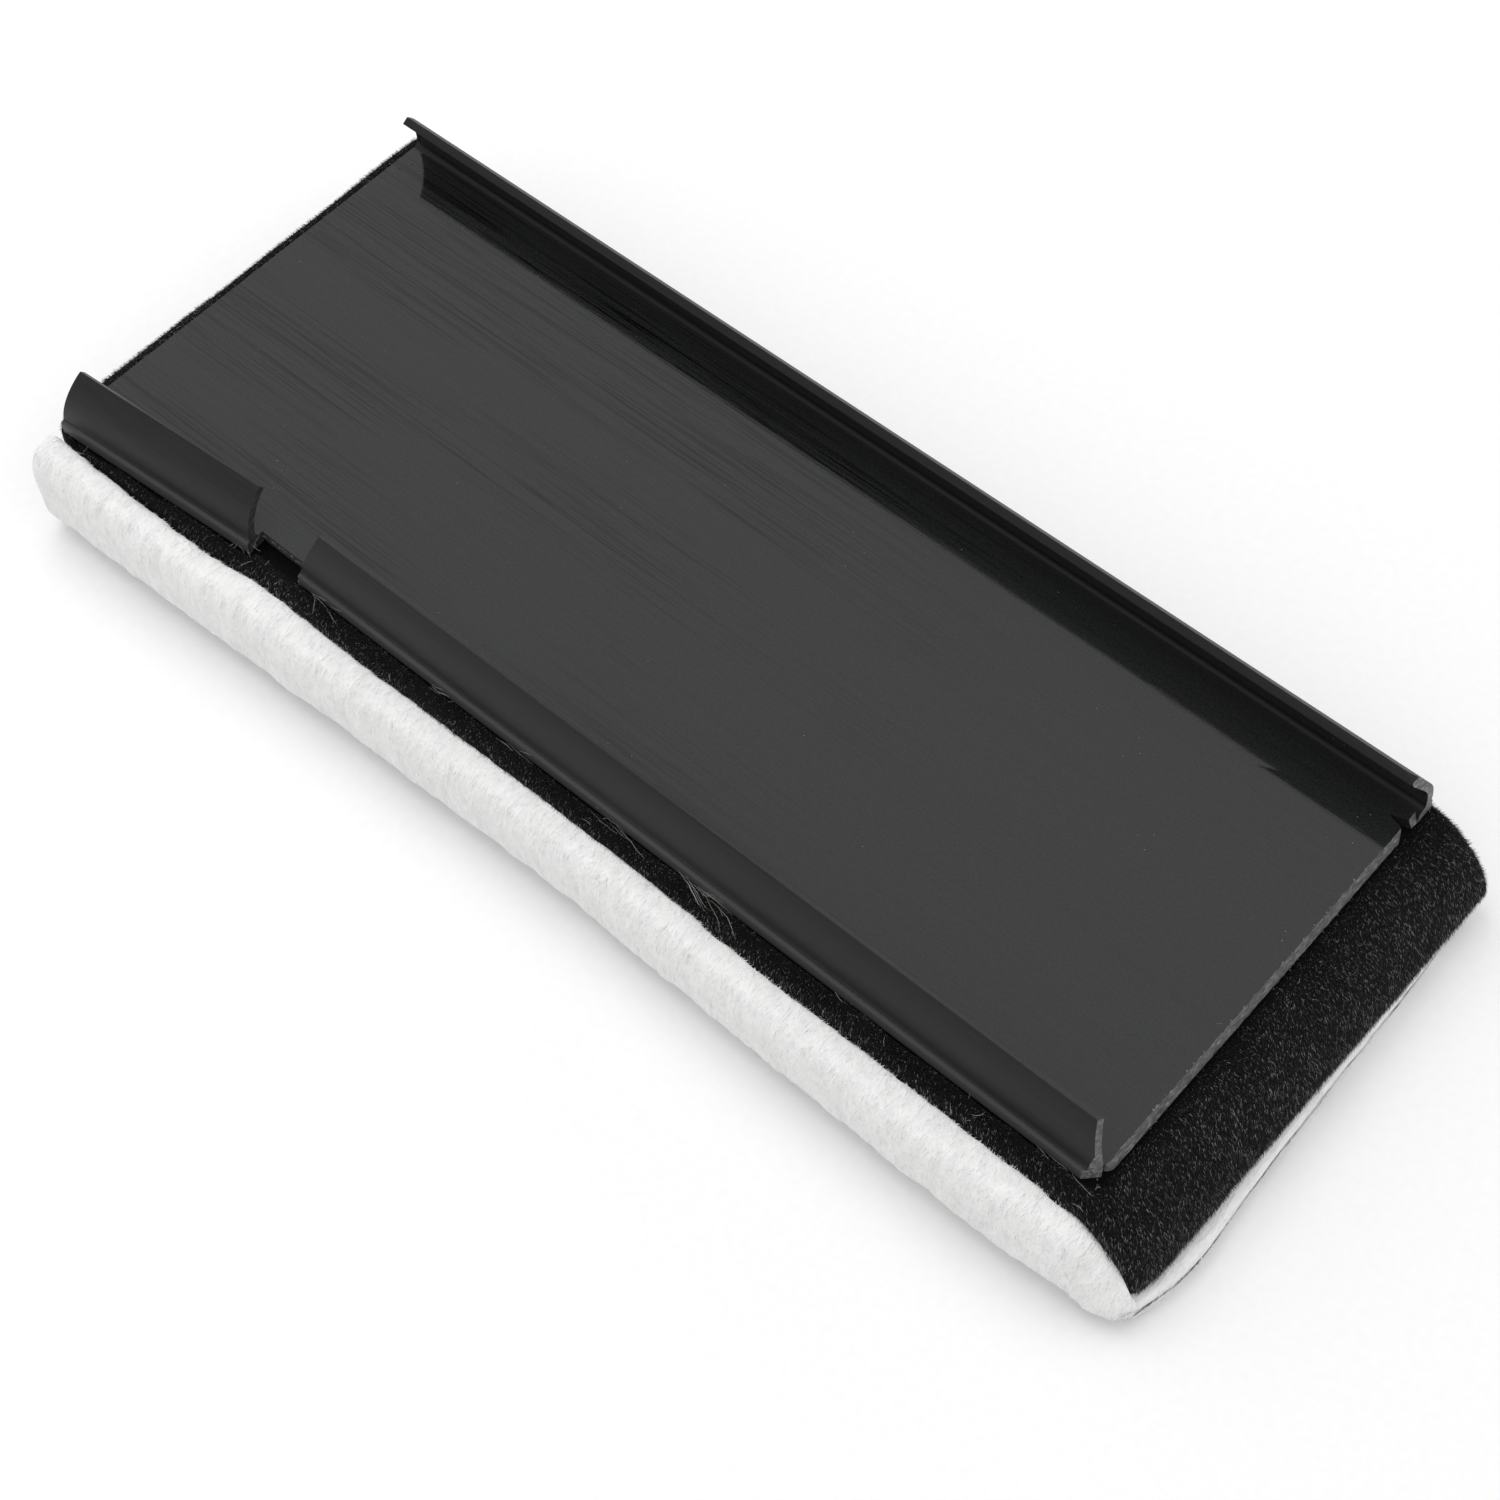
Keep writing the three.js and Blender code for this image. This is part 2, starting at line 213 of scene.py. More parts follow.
class Nodes:
    """A short way to write a material's node tree."""

    def __init__(self, name):
        self.material = bpy.data.materials.new(name)
        self.material.use_nodes = True
        self.tree = self.material.node_tree
        self.shader = self.tree.nodes["Principled BSDF"]

    def add(self, kind, **settings):
        node = self.tree.nodes.new(kind)
        for key, value in settings.items():
            setattr(node, key, value)
        return node

    def feed(self, socket, value):
        """Links another node's output to a socket, or sets the socket to a constant."""
        if isinstance(value, bpy.types.NodeSocket):
            self.tree.links.new(value, socket)
        else:
            socket.default_value = value

    def coordinates(self, stretch=(1, 1, 1)):
        """Object coordinates in millimetres, times stretch."""
        mapping = self.add("ShaderNodeMapping")
        mapping.inputs["Scale"].default_value = [s / MM for s in stretch]
        self.feed(mapping.inputs["Vector"], self.add("ShaderNodeTexCoord").outputs["Object"])
        return mapping.outputs["Vector"]

    def axes(self):
        """The three object coordinates in millimetres, each as an output."""
        split = self.add("ShaderNodeSeparateXYZ")
        self.feed(split.inputs["Vector"], self.coordinates())
        return split.outputs

    def texture(self, kind, output, inputs, stretch=(1, 1, 1), **settings):
        node = self.add(f"ShaderNodeTex{kind}", **settings)
        for key, value in inputs.items():
            node.inputs[key].default_value = value
        self.feed(node.inputs["Vector"], self.coordinates(stretch))
        return node.outputs[output]

    def noise(self, scale, detail=3.0, roughness=0.55, stretch=(1, 1, 1), distortion=0.0):
        """Noise with scale in features per millimetre."""
        inputs = {"Scale": scale, "Detail": detail, "Roughness": roughness, "Distortion": distortion}
        return self.texture("Noise", "Fac", inputs, stretch)

    def ramp(self, value, *stops):
        """Colour ramp with stops of (position, grey or rgb)."""
        node = self.add("ShaderNodeValToRGB")
        points = node.color_ramp.elements
        while len(points) < len(stops):
            points.new(0.5)
        for point, (position, colour) in zip(points, stops):
            point.position = position
            point.color = rgba(colour)
        self.feed(node.inputs["Fac"], value)
        return node.outputs["Color"]

    def mix(self, factor, first, second):
        """Blend of two colours, each a grey, an rgb or a node's output."""
        node = self.add("ShaderNodeMix", data_type="RGBA")
        for socket, value in ((0, factor), (6, rgba(first)), (7, rgba(second))):
            self.feed(node.inputs[socket], value)
        return node.outputs[2]

    def math(self, operation, *values):
        node = self.add("ShaderNodeMath", operation=operation)
        for socket, value in zip(node.inputs, values):
            self.feed(socket, value)
        return node.outputs[0]

    def bump(self, height, distance, under=None):
        """Bump of a height from 0 to 1 over distance millimetres, on top of the bump under it."""
        node = self.add("ShaderNodeBump")
        node.inputs["Distance"].default_value = distance * MM
        self.feed(node.inputs["Height"], height)
        if under is not None:
            self.feed(node.inputs["Normal"], under)
        return node.outputs["Normal"]

    def set(self, **values):
        """Sets or links the shader's sockets and returns the material."""
        for key, value in values.items():
            self.feed(self.shader.inputs[key.replace("_", " ")], value)
        return self.material


def black_plastic():
    """The extruded black plastic: die lines along X, smudges, dust and fine scratches."""
    m = Nodes("black_plastic")
    die_lines = m.noise(3.4, roughness=0.65, stretch=(0.011, 1, 1))
    clusters = m.noise(0.07, roughness=0.6, stretch=(0.16, 1, 1))
    smudges = m.noise(0.035)
    grain = m.noise(3.2, roughness=0.7)
    scratches = m.noise(9, detail=2, roughness=0.5, stretch=(0.05, 1, 0.4), distortion=0.4)
    dust = m.texture("Voronoi", "Distance", {"Scale": 0.6}, feature="F1")
    sparse = m.math("GREATER_THAN", m.noise(0.11, detail=1), 0.57)
    speck = m.math("MULTIPLY", m.math("LESS_THAN", dust, 0.032), sparse)
    tone = m.ramp(grain, (0.34, (0.0108, 0.0115, 0.0112)), (0.66, (0.0188, 0.0198, 0.0194)))
    lines = m.ramp(die_lines, (0.41, 1.0), (0.51, 0.0))
    leftwards = m.ramp(m.math("MULTIPLY_ADD", m.axes()["X"], -0.01, 0.5), (0.2, 0.12), (0.62, 1.0))
    shown = m.math("MULTIPLY", m.ramp(clusters, (0.42, 0.15), (0.54, 1.0)), leftwards)
    tone = m.mix(m.math("MULTIPLY", lines, shown), tone, 0.002)
    rough = m.math("ADD", m.math("MULTIPLY_ADD", smudges, 0.09, 0.03), m.math("MULTIPLY", speck, 0.5))
    normal = m.bump(scratches, 0.002, under=m.bump(die_lines, 0.006))
    return m.set(Base_Color=m.mix(speck, tone, (0.24, 0.24, 0.235)), Roughness=rough, IOR=1.48, Normal=normal)


def painted_flange_tone(name, dark, light):
    """Outer skin of the flanges: the same plastic with a duller die finish, paler along the foot, in a tone
    range of its own: darker than the plate as painted shade on the flanks, crests and far fillet, and paler
    as the painted highlight on the near crest.
    """
    m = Nodes(name)
    axes = m.axes()
    waver = m.math("MULTIPLY", m.noise(0.09, detail=2, stretch=(0.3, 1, 1)), 1.2)
    height = m.math("SUBTRACT", m.math("SUBTRACT", axes["Z"], BOTTOM - 0.6), waver)
    foot = m.ramp(m.math("DIVIDE", height, 4.5), (0.38, 1.0), (0.72, 0.0))
    # Only the outer faces are paler: the whole near flange, and beyond the far flange's inside.
    near, far = NEAR + 5, FAR - 0.8
    from_middle = m.math("ABSOLUTE", m.math("SUBTRACT", axes["Y"], (near + far) / 2))
    foot = m.math("MULTIPLY", foot, m.math("GREATER_THAN", from_middle, (far - near) / 2))
    die_lines = m.noise(2.2, roughness=0.65, stretch=(0.008, 1, 1))
    grain = m.noise(2.8, roughness=0.7)
    tone = m.ramp(grain, (0.34, dark), (0.66, light))
    tone = m.mix(m.ramp(die_lines, (0.4, 0.0), (0.62, 0.5)), tone, 0.012)
    m.set(Base_Color=m.mix(m.math("MULTIPLY", foot, 0.8), tone, (0.062, 0.064, 0.063)))
    rough = m.math("MULTIPLY_ADD", grain, 0.12, 0.42)
    return m.set(Roughness=rough, IOR=1.36, Normal=m.bump(die_lines, 0.01))


def edge_wear_and_highlight():
    """The same plastic on the bevelled edges, paler and rougher: partly rubbed wear, partly a painted
    highlight along the edges.
    """
    m = Nodes("edge_wear_and_highlight")
    wear_and_highlight = m.noise(0.5, detail=5, roughness=0.7, stretch=(0.25, 1, 1))
    m.set(Base_Color=m.ramp(wear_and_highlight, (0.35, 0.035), (0.68, (0.19, 0.19, 0.187))))
    rough = m.math("MULTIPLY_ADD", wear_and_highlight, 0.3, 0.2)
    return m.set(Roughness=rough, IOR=1.47, Normal=m.bump(m.noise(4, detail=4), 0.03))


def sawn_plastic(name, deep, middle, torn):
    """Sawn end faces: grey torn plastic with saw marks, in three tones."""
    m = Nodes(name)
    marks = m.noise(3.0, detail=4, roughness=0.7, stretch=(1, 0.35, 1.6), distortion=0.5)
    blotches = m.noise(0.8)
    tone = m.ramp(marks, (0.36, deep), (0.52, middle), (0.68, torn))
    m.set(Base_Color=m.mix(m.ramp(blotches, (0.42, 0.0), (0.62, 0.5)), tone, deep))
    return m.set(Roughness=m.math("MULTIPLY_ADD", marks, 0.3, 0.4), IOR=1.47, Normal=m.bump(marks, 0.12))


def velour_ground():
    """Black velour under its nap: short pile with a soft sheen and a worn, dusty tone here and there."""
    m = Nodes("velour_ground")
    fuzz = m.noise(5.5, detail=4, roughness=0.75)
    patches = m.noise(0.16)
    tone = m.ramp(fuzz, (0.38, 0.002), (0.62, 0.009), (0.75, 0.03))
    m.set(Base_Color=m.mix(m.ramp(patches, (0.48, 0.0), (0.66, 0.25)), tone, 0.016))
    m.set(Roughness=0.95, Sheen_Weight=0.04, Sheen_Roughness=0.4, Specular_IOR_Level=0.05)
    return m.set(Normal=m.bump(fuzz, 0.25))


def fibre(name, colour, roughness, sheen):
    """One shade of fibre. The change along a piece comes from a faint noise."""
    m = Nodes(name)
    low = tuple(c * 0.82 for c in rgba(colour)[:3])
    m.set(Base_Color=m.ramp(m.noise(0.4, detail=2), (0.35, low), (0.65, colour)))
    return m.set(Roughness=roughness, Sheen_Weight=sheen)


def plush_ground():
    """White plush under its strands: matted, with painted shade that leaves it slightly grey between the
    tufts.
    """
    m = Nodes("plush_ground")
    tufts = m.noise(0.9, detail=4, roughness=0.65, stretch=(1.0, 0.35, 0.35))
    fine = m.noise(4.0, stretch=(1.0, 0.3, 0.3))
    tone = m.ramp(tufts, (0.32, (0.76, 0.76, 0.755)), (0.66, (0.88, 0.88, 0.875)))
    m.set(Base_Color=m.mix(m.ramp(fine, (0.4, 0.0), (0.62, 0.25)), tone, (0.92, 0.92, 0.915)))
    m.set(Roughness=0.95, Sheen_Weight=0.2, Specular_IOR_Level=0.1)
    return m.set(Normal=m.bump(fine, 0.2, under=m.bump(tufts, 0.6)))


def backing_cloth():
    """Knitted ground cloth of the plush: small rows of loops."""
    m = Nodes("backing_cloth")
    loops = {"Scale": 0.45, "Distortion": 1.2}
    loops = m.texture("Wave", "Fac", loops, wave_type="BANDS", bands_direction="X")
    rows = m.texture("Wave", "Fac", {"Scale": 0.6}, wave_type="BANDS", bands_direction="DIAGONAL")
    knit = m.math("MULTIPLY", loops, rows)
    m.set(Base_Color=m.ramp(knit, (0.1, (0.42, 0.41, 0.38)), (0.6, (0.62, 0.61, 0.57))))
    return m.set(Roughness=0.9, Normal=m.bump(knit, 0.3))


def dried_glue(name):
    """Clear rubbery glue with bubbles: cloudy in places."""
    m = Nodes(name)
    cloud = m.noise(0.3, detail=4)
    bubbles = m.texture("Voronoi", "Distance", {"Scale": 1.2}, feature="SMOOTH_F1")
    m.set(Base_Color=m.ramp(cloud, (0.3, (0.50, 0.495, 0.47)), (0.7, (0.72, 0.715, 0.69))))
    return m.set(Roughness=m.math("MULTIPLY_ADD", cloud, 0.2, 0.25), IOR=1.48, Normal=m.bump(bubbles, 0.08))


def studio_floor():
    """Pale paper with a barely visible grain."""
    m = Nodes("studio_floor")
    m.set(Base_Color=m.ramp(m.noise(0.8), (0.3, 0.86), (0.7, 0.88)))
    return m.set(Roughness=0.9, Specular_IOR_Level=0.1)


# ---- channel back


def flange_outline(reach, rise):
    """Section of a flange as (inward from the foot, up from the plate's underside)."""
    base = FOOT_HEIGHT + FOOT_LIP
    lean = reach - FOOT_LIP
    climb = PLATE_THICKNESS + rise - base
    radius = (lean**2 + climb**2) / (2 * lean)
    sweep = math.degrees(math.asin(climb / radius))
    inner = radius - FLANGE_WALL
    fillet_top = PLATE_THICKNESS + FLANGE_FILLET
    start = math.degrees(math.asin((fillet_top - base) / inner))
    root = FOOT_LIP + FLANGE_WALL
    return [
        (FLANGE_BASE_STRIP, 0),
        (0, 0),
        *arc(FOOT_LIP, FOOT_HEIGHT, FOOT_LIP, 180, 90, 8)[:-1],
        *arc(FOOT_LIP + radius, base, radius, 180, 180 - sweep, FLANGE_ARC_STEPS),
        *arc(FOOT_LIP + radius, base, inner, 180 - sweep, 180 - start, FLANGE_ARC_STEPS),
        *arc(root + FLANGE_FILLET, fillet_top, FLANGE_FILLET, 180, 270, 8)[1:],
        (FLANGE_BASE_STRIP, PLATE_THICKNESS),
    ]


def flange(name, foot, inwards, reach, rise, start, end):
    """A flange whose foot stands at y = foot, from start to end along x; inwards is its lean's sign."""
    outline = [(foot + inwards * u, BOTTOM + v) for u, v in flange_outline(reach, rise)]
    return prism(name, outline, start, end, along_x)


def stub_flange():
    """The short run left of the notch, swung out about its notch end."""
    obj = flange("stub", NEAR, 1, STUB_REACH, NEAR_RISE, LEFT - 3, NOTCH_START)
    pivot = Vector((NOTCH_START, NEAR, 0)) * MM
    turn = Quaternion((0, 0, 1), STUB_SPLAY)
    for vertex in obj.data.vertices:
        vertex.co = turn @ (vertex.co - pivot) + pivot
        vertex.co.y -= STUB_STEP_OUT * MM
    return obj


def notch_cutters():
    tip_x, tip = LEFT + NOTCH_RIGHT_AT_TIP, TOP + NEAR_RISE
    for low, near, far in (
        (BOTTOM - 2, NEAR - 6, NEAR + NOTCH_BITE),
        (TOP, NEAR, NEAR + FLANGE_BASE_STRIP),
    ):
        foot = [(NOTCH_START, low), (NOTCH_END, low), (NOTCH_END, TOP + 0.01)]
        outline = [*foot, (tip_x, tip), (tip_x, tip + 2), (NOTCH_START, tip + 2)]
        yield prism("notch", outline, near, far, along_y)


def end_wedge(side, setback, near, far):
    """Sets a flange's tip back from a sawn end: side is -1 at the left end, +1 at the right."""
    end = LEFT if side < 0 else RIGHT
    tip, back, beyond = TOP + FAR_RISE, end - side * setback, end + side * 3
    outline = [(end, TOP), (back, tip), (back, tip + 1), (beyond, tip + 1), (beyond, TOP)]
    return prism("wedge", outline, near, far, along_y)


def far_right_rounding():
    tip = TOP + FAR_RISE
    radius = FAR_RIGHT_TIP_RADIUS
    outline = [
        *arc(RIGHT - radius, tip - radius, radius, 90, 0, 10),
        (RIGHT + 1, tip - radius),
        (RIGHT + 1, tip + 1),
        (RIGHT - radius, tip + 1),
    ]
    return prism("rounding", outline, FAR - 9, FAR + 1, along_y)


def right_nicks():
    """Relief nicks between plate and flanges at the right end, with the plate's corners rounded off."""
    end = RIGHT - LEFT
    radius = PLATE_CORNER_RADIUS
    far_root = CHANNEL_WIDTH - 3.2
    near_root = 1.7
    far_nick = [
        (end + 1, far_root),
        (end - 0.5, far_root - 0.9),
        (end - 2.8, far_root - 1.8),
        *arc(end - radius, far_root - 2.2 - radius, radius, 90, 0, 8),
        (end + 1, far_root - 2.2 - radius),
    ]
    near_nick = [
        (end + 1, near_root),
        (end + 1, near_root + 0.5 + radius),
        *arc(end - radius, near_root + 0.5 + radius, radius, 0, -90, 8),
        (end - 2.2, near_root + 0.3),
        (end - 0.4, near_root),
    ]
    for outline in (far_nick, near_nick):
        placed = [(LEFT + u, NEAR + v) for u, v in outline]
        yield prism("nick", placed, BOTTOM - 1, TOP + 1.6, along_z)


SAW_SLANT = 0.6
SAW_RAGGED = 0.11
SAW_STEP = 0.45


def ragged_end():
    """Cutter for the plate's right end: a slanting saw cut whose upper edge is torn ragged."""
    ys = np.arange(NEAR + 1.5, FAR - 2.6, SAW_STEP)
    high, low = TOP + 0.02, BOTTOM - 0.02
    verts = []
    for y in ys:
        coarse, fine = noise.noise((y * 0.9, 3.3, 0)), noise.noise((y * 2.3, 7.7, 0))
        top_x = RIGHT - SAW_SLANT + (SAW_RAGGED * coarse + 0.5 * SAW_RAGGED * fine)
        low_x = RIGHT - 0.05 + 0.6 * SAW_RAGGED * noise.noise((y * 1.1, 12.1, 0))
        verts += [(top_x, y, high), (low_x, y, low), (RIGHT + 2, y, low), (RIGHT + 2, y, high)]
    sides, caps = tube(len(ys), 4)
    return outward(mesh_object("ragged_end", verts, sides + caps))


TEAR_LENGTH = 2.7
TEAR_HEIGHT = 4.8


def foot_tear():
    """Cutter that leaves a slanting torn face at the foot of the near flange's right end."""
    start, end = RIGHT - TEAR_LENGTH, RIGHT + 2
    outline = [(start, NEAR - 0.6), (RIGHT + 0.02, NEAR + 2.3), (end, NEAR + 2.3)]
    outline += [(end, NEAR - 2), (start, NEAR - 2)]
    return prism("foot_tear", outline, BOTTOM - 1, TOP + TEAR_HEIGHT, along_z)


# Material slots of the channel, in the order of its materials.
PLATE, WEAR_AND_HIGHLIGHT, SAWN, SHADED_SKIN, CUT, TIP_HIGHLIGHT = range(6)


def skin_slot(face):
    """Material slot of a face of the channel, from where it is and which way it faces."""
    middle, normal = face.center / MM, face.normal
    if abs(normal.x) > 0.55:
        foot = middle.z < TOP + 5.5 or middle.y > FAR - 8
        rough_end = middle.x > RIGHT - 4 and foot
        return SAWN if rough_end or middle.z < TOP + 1.6 else CUT
    # Faces on the flanks, the crests and the far fillet are painted darker than the plate: painted shade.
    near_skin = middle.y < NEAR + 5 and normal.y < -0.15
    far_skin = middle.y > FAR - 5 and normal.y > 0.15
    tip = middle.z > TOP + NEAR_RISE - 1.0 and normal.z > 0.3
    low = middle.z < TOP + FLANGE_FILLET + 0.2
    fillet = middle.y > FAR - 3 and low and normal.z < 0.97
    # The near flange's crest, on its side towards the plate, is painted paler: a painted highlight.
    if tip and middle.y < NEAR + 15 and normal.y > 0.4:
        return TIP_HIGHLIGHT
    return SHADED_SKIN if tip or near_skin or far_skin or fillet else PLATE


def channel_body(materials):
    plate = rectangle(LEFT, NEAR + 2, RIGHT, FAR - 2)
    body = prism("channel_body", plate, BOTTOM, TOP, along_z)
    long_start = LEFT + (NOTCH_RIGHT - 1)
    far_run = flange("far_run", FAR, -1, FAR_REACH, FAR_RISE, LEFT, RIGHT)
    long_run = flange("long_run", NEAR, 1, NEAR_REACH, NEAR_RISE, long_start, RIGHT)
    for tool in (far_run, long_run, stub_flange()):
        combine(body, tool, "UNION")
    overhang = rectangle(LEFT - 6, BOTTOM - 1, LEFT, TOP + 12)
    cutters = [
        *notch_cutters(),
        end_wedge(1, NEAR_RIGHT_SETBACK, NEAR - 1, NEAR + 9),
        end_wedge(-1, FAR_LEFT_SETBACK, FAR - 9, FAR + 1),
        end_wedge(-1, NEAR_LEFT_SETBACK, NEAR - 6, NEAR + 9),
        far_right_rounding(),
        ragged_end(),
        foot_tear(),
        *right_nicks(),
        prism("overhang", overhang, -60, 60, along_y),
    ]
    for tool in cutters:
        combine(body, tool, "DIFFERENCE")
    flat = math.radians(0.4)
    edit_mesh(
        body,
        lambda bm: bmesh.ops.remove_doubles(bm, verts=bm.verts, dist=0.01 * MM),
        lambda bm: bmesh.ops.dissolve_limit(bm, angle_limit=flat, verts=bm.verts, edges=bm.edges),
    )
    body.data.materials.clear()
    for material in materials:
        body.data.materials.append(material)
    for face in body.data.polygons:
        face.use_smooth = True
        face.material_index = skin_slot(face)
    # The bevel faces take the paler edge plastic: partly wear, partly painted highlight.
    bevel = body.modifiers.new("worn_edges", "BEVEL")
    bevel.width, bevel.segments, bevel.material = EDGE_BEVEL * MM, 2, WEAR_AND_HIGHLIGHT
    bevel.limit_method, bevel.angle_limit = "ANGLE", math.radians(38)
    bevel.harden_normals = bevel.use_clamp_overlap = True
    finish_piece(body, ("channel_back",))


BURR_FACES = ((0, 1, 2, 3), (1, 0, 4), (2, 1, 4), (3, 2, 4), (0, 3, 4))


def saw_burrs(material):
    """Small torn slivers along the sawn edges, where the plastic was ripped and not cut clean."""
    rng = np.random.default_rng(11)
    bite, cut = NEAR + NOTCH_BITE, RIGHT - SAW_SLANT
    edges = [
        # start, end, how far slivers stand out, how many
        ((cut, NEAR + 5, TOP), (cut, FAR - 7, TOP), 0.4, 190),
        ((RIGHT, NEAR + 5, BOTTOM), (RIGHT, FAR - 7, BOTTOM), 0.3, 70),
        ((LEFT, NEAR + 4, TOP), (LEFT, FAR - 6, TOP), 0.25, 60),
        ((LEFT + 0.2, FAR - 10, TOP), (LEFT + 2.6, FAR - 3.4, TOP), 0.3, 34),
        ((NOTCH_START, NEAR - 0.6, BOTTOM + 0.2), (NOTCH_START, NEAR + 1.4, TOP + 0.2), 0.6, 40),
        ((NOTCH_END, NEAR, BOTTOM + 0.2), (NOTCH_END + 0.3, NEAR + 1.6, TOP + 0.8), 0.6, 44),
        ((NOTCH_START, bite, TOP), (NOTCH_END, bite, TOP), 0.3, 60),
        ((RIGHT, NEAR + 0.1, BOTTOM + 0.3), (RIGHT - 0.6, NEAR + 0.9, TOP + 2.6), 0.5, 34),
    ]
    verts, faces = [], []
    for start, end, reach, count in edges:
        start, end = np.array(start, float), np.array(end, float)
        run = (end - start) / np.linalg.norm(end - start)
        for _ in range(count):
            at = start + (end - start) * rng.random() + rng.normal(0, 0.04, 3)
            out = rng.normal(0, 1, 3)
            out[2] = abs(out[2]) * 0.6
            out /= np.linalg.norm(out)
            size = reach * (0.25 + 0.75 * rng.random() ** 2)
            half = run * size * (0.25 + 0.5 * rng.random())
            lift = out * size
            thin = np.cross(run, out) * 0.03
            faces += [tuple(len(verts) + i for i in face) for face in BURR_FACES]
            verts += [at - half, at + half, at + lift * 0.7 + half * 0.3, at + lift, at + thin]
    finish_piece(mesh_object("saw_burrs", verts, faces, [material], smooth=False))


# ---- soft pieces


def shell_grid(nx, ny, nz):
    """Surface points of an nx by ny by nz box of cells as (i, j, k) rows, and its outward quads."""
    x, y, z = np.eye(3, dtype=int)
    index, faces = {}, []

    def quad(corner, first, second):
        loop = (corner, corner + first, corner + first + second, corner + second)
        faces.append(tuple(index.setdefault(tuple(point), len(index)) for point in loop))

    for i in range(nx):
        for j in range(ny):
            quad(i * x + j * y + nz * z, x, y)
            quad(i * x + j * y, y, x)
        for k in range(nz):
            quad(i * x + k * z, x, z)
            quad(i * x + ny * y + k * z, z, x)
    for j in range(ny):
        for k in range(nz):
            quad(j * y + k * z, z, y)
            quad(nx * x + j * y + k * z, y, z)
    return np.array(list(index)), faces


def crowded(share):
    """Spreads 0 to 1 so that stations crowd at both ends."""
    return 0.5 - 0.5 * np.cos(math.pi * share)


def rounded(values, low, high, radii):
    """Rounded-box mapping of surface points: pulls them onto fillets of the given radii."""
    radii = np.asarray(radii, float)
    inner = np.clip(values, low + radii, high - radii)
    away = (values - inner) / radii
    size = np.linalg.norm(away, axis=1, keepdims=True)
    return inner + away / np.maximum(size, 1e-9) * radii


def field(points, scale, seed):
    """Smooth noise from -1 to 1 at each point; scale in features per millimetre."""
    shift = Vector((seed * 13.7, seed * 5.1, seed * 9.3))
    return np.array([noise.noise(Vector(p) * scale + shift) for p in points])


def vertex_rows(obj, key):
    rows = np.empty(len(obj.data.vertices) * 3)
    obj.data.vertices.foreach_get(key, rows)
    return rows.reshape(-1, 3)


def points_and_normals(obj):
    """A mesh's vertices in millimetres, and their normals."""
    return vertex_rows(obj, "co") / MM, vertex_rows(obj, "normal")


def set_points(obj, points):
    obj.data.vertices.foreach_set("co", (np.asarray(points) * MM).ravel())
    obj.data.update()


def curve_through(value, *stations):
    """Smooth curve through (place, height) stations."""
    places, heights = np.array(stations, float).T
    value = np.clip(value, places[0], places[-1])
    i = np.clip(np.searchsorted(places, value, side="right") - 1, 0, len(places) - 2)
    t = (value - places[i]) / (places[i + 1] - places[i])
    slopes = np.gradient(heights, places)
    step = places[i + 1] - places[i]
    return (
        (2 * t**3 - 3 * t**2 + 1) * heights[i]
        + (t**3 - 2 * t**2 + t) * step * slopes[i]
        + (3 * t**2 - 2 * t**3) * heights[i + 1]
        + (t**3 - t**2) * step * slopes[i + 1]
    )


# The pad: cells along its length, width and height, and how much they crowd towards its edges.
PAD_CELLS = (150, 64, 10)
PAD_CROWDING = np.array([0.35, 0.6, 1.0])
PAD_BEND_START = PAD_HI[0] - 11.9
PAD_BEND_LENGTH = 15.5
PAD_END_LOW_NEAR = 3.9
PAD_END_LOW_FAR = 2.9
PAD_EDGE_RADIUS = 1.7
PAD_PUFF = 0.9
PAD_NEAR_PUFF = 1.2
PAD_NEAR_EDGE_RADIUS = 1.2
PAD_LEFT_EDGE_RADIUS = 0.9
PAD_LEFT_BULGE = 0.35
PAD_CORNER_REACH = 6.0
PAD_CORNER_PULL = 3.2
PAD_RIGHT_CORNER_PULL = 1.5


def channel_foot(x):
    """The near foot line of the channel: straight, but swung outwards left of the notch."""
    to_notch = NOTCH_START - x
    return np.where(to_notch > 0, NEAR - STUB_STEP_OUT - math.tan(STUB_SPLAY) * to_notch, NEAR)


def outside_channel(x, y):
    """Distance of a plan point outside the channel's footprint, negative inside it."""
    dx = np.maximum(LEFT - x, x - RIGHT)
    dy = np.maximum(channel_foot(x) - y, y - FAR)
    return np.maximum(dx, dy)


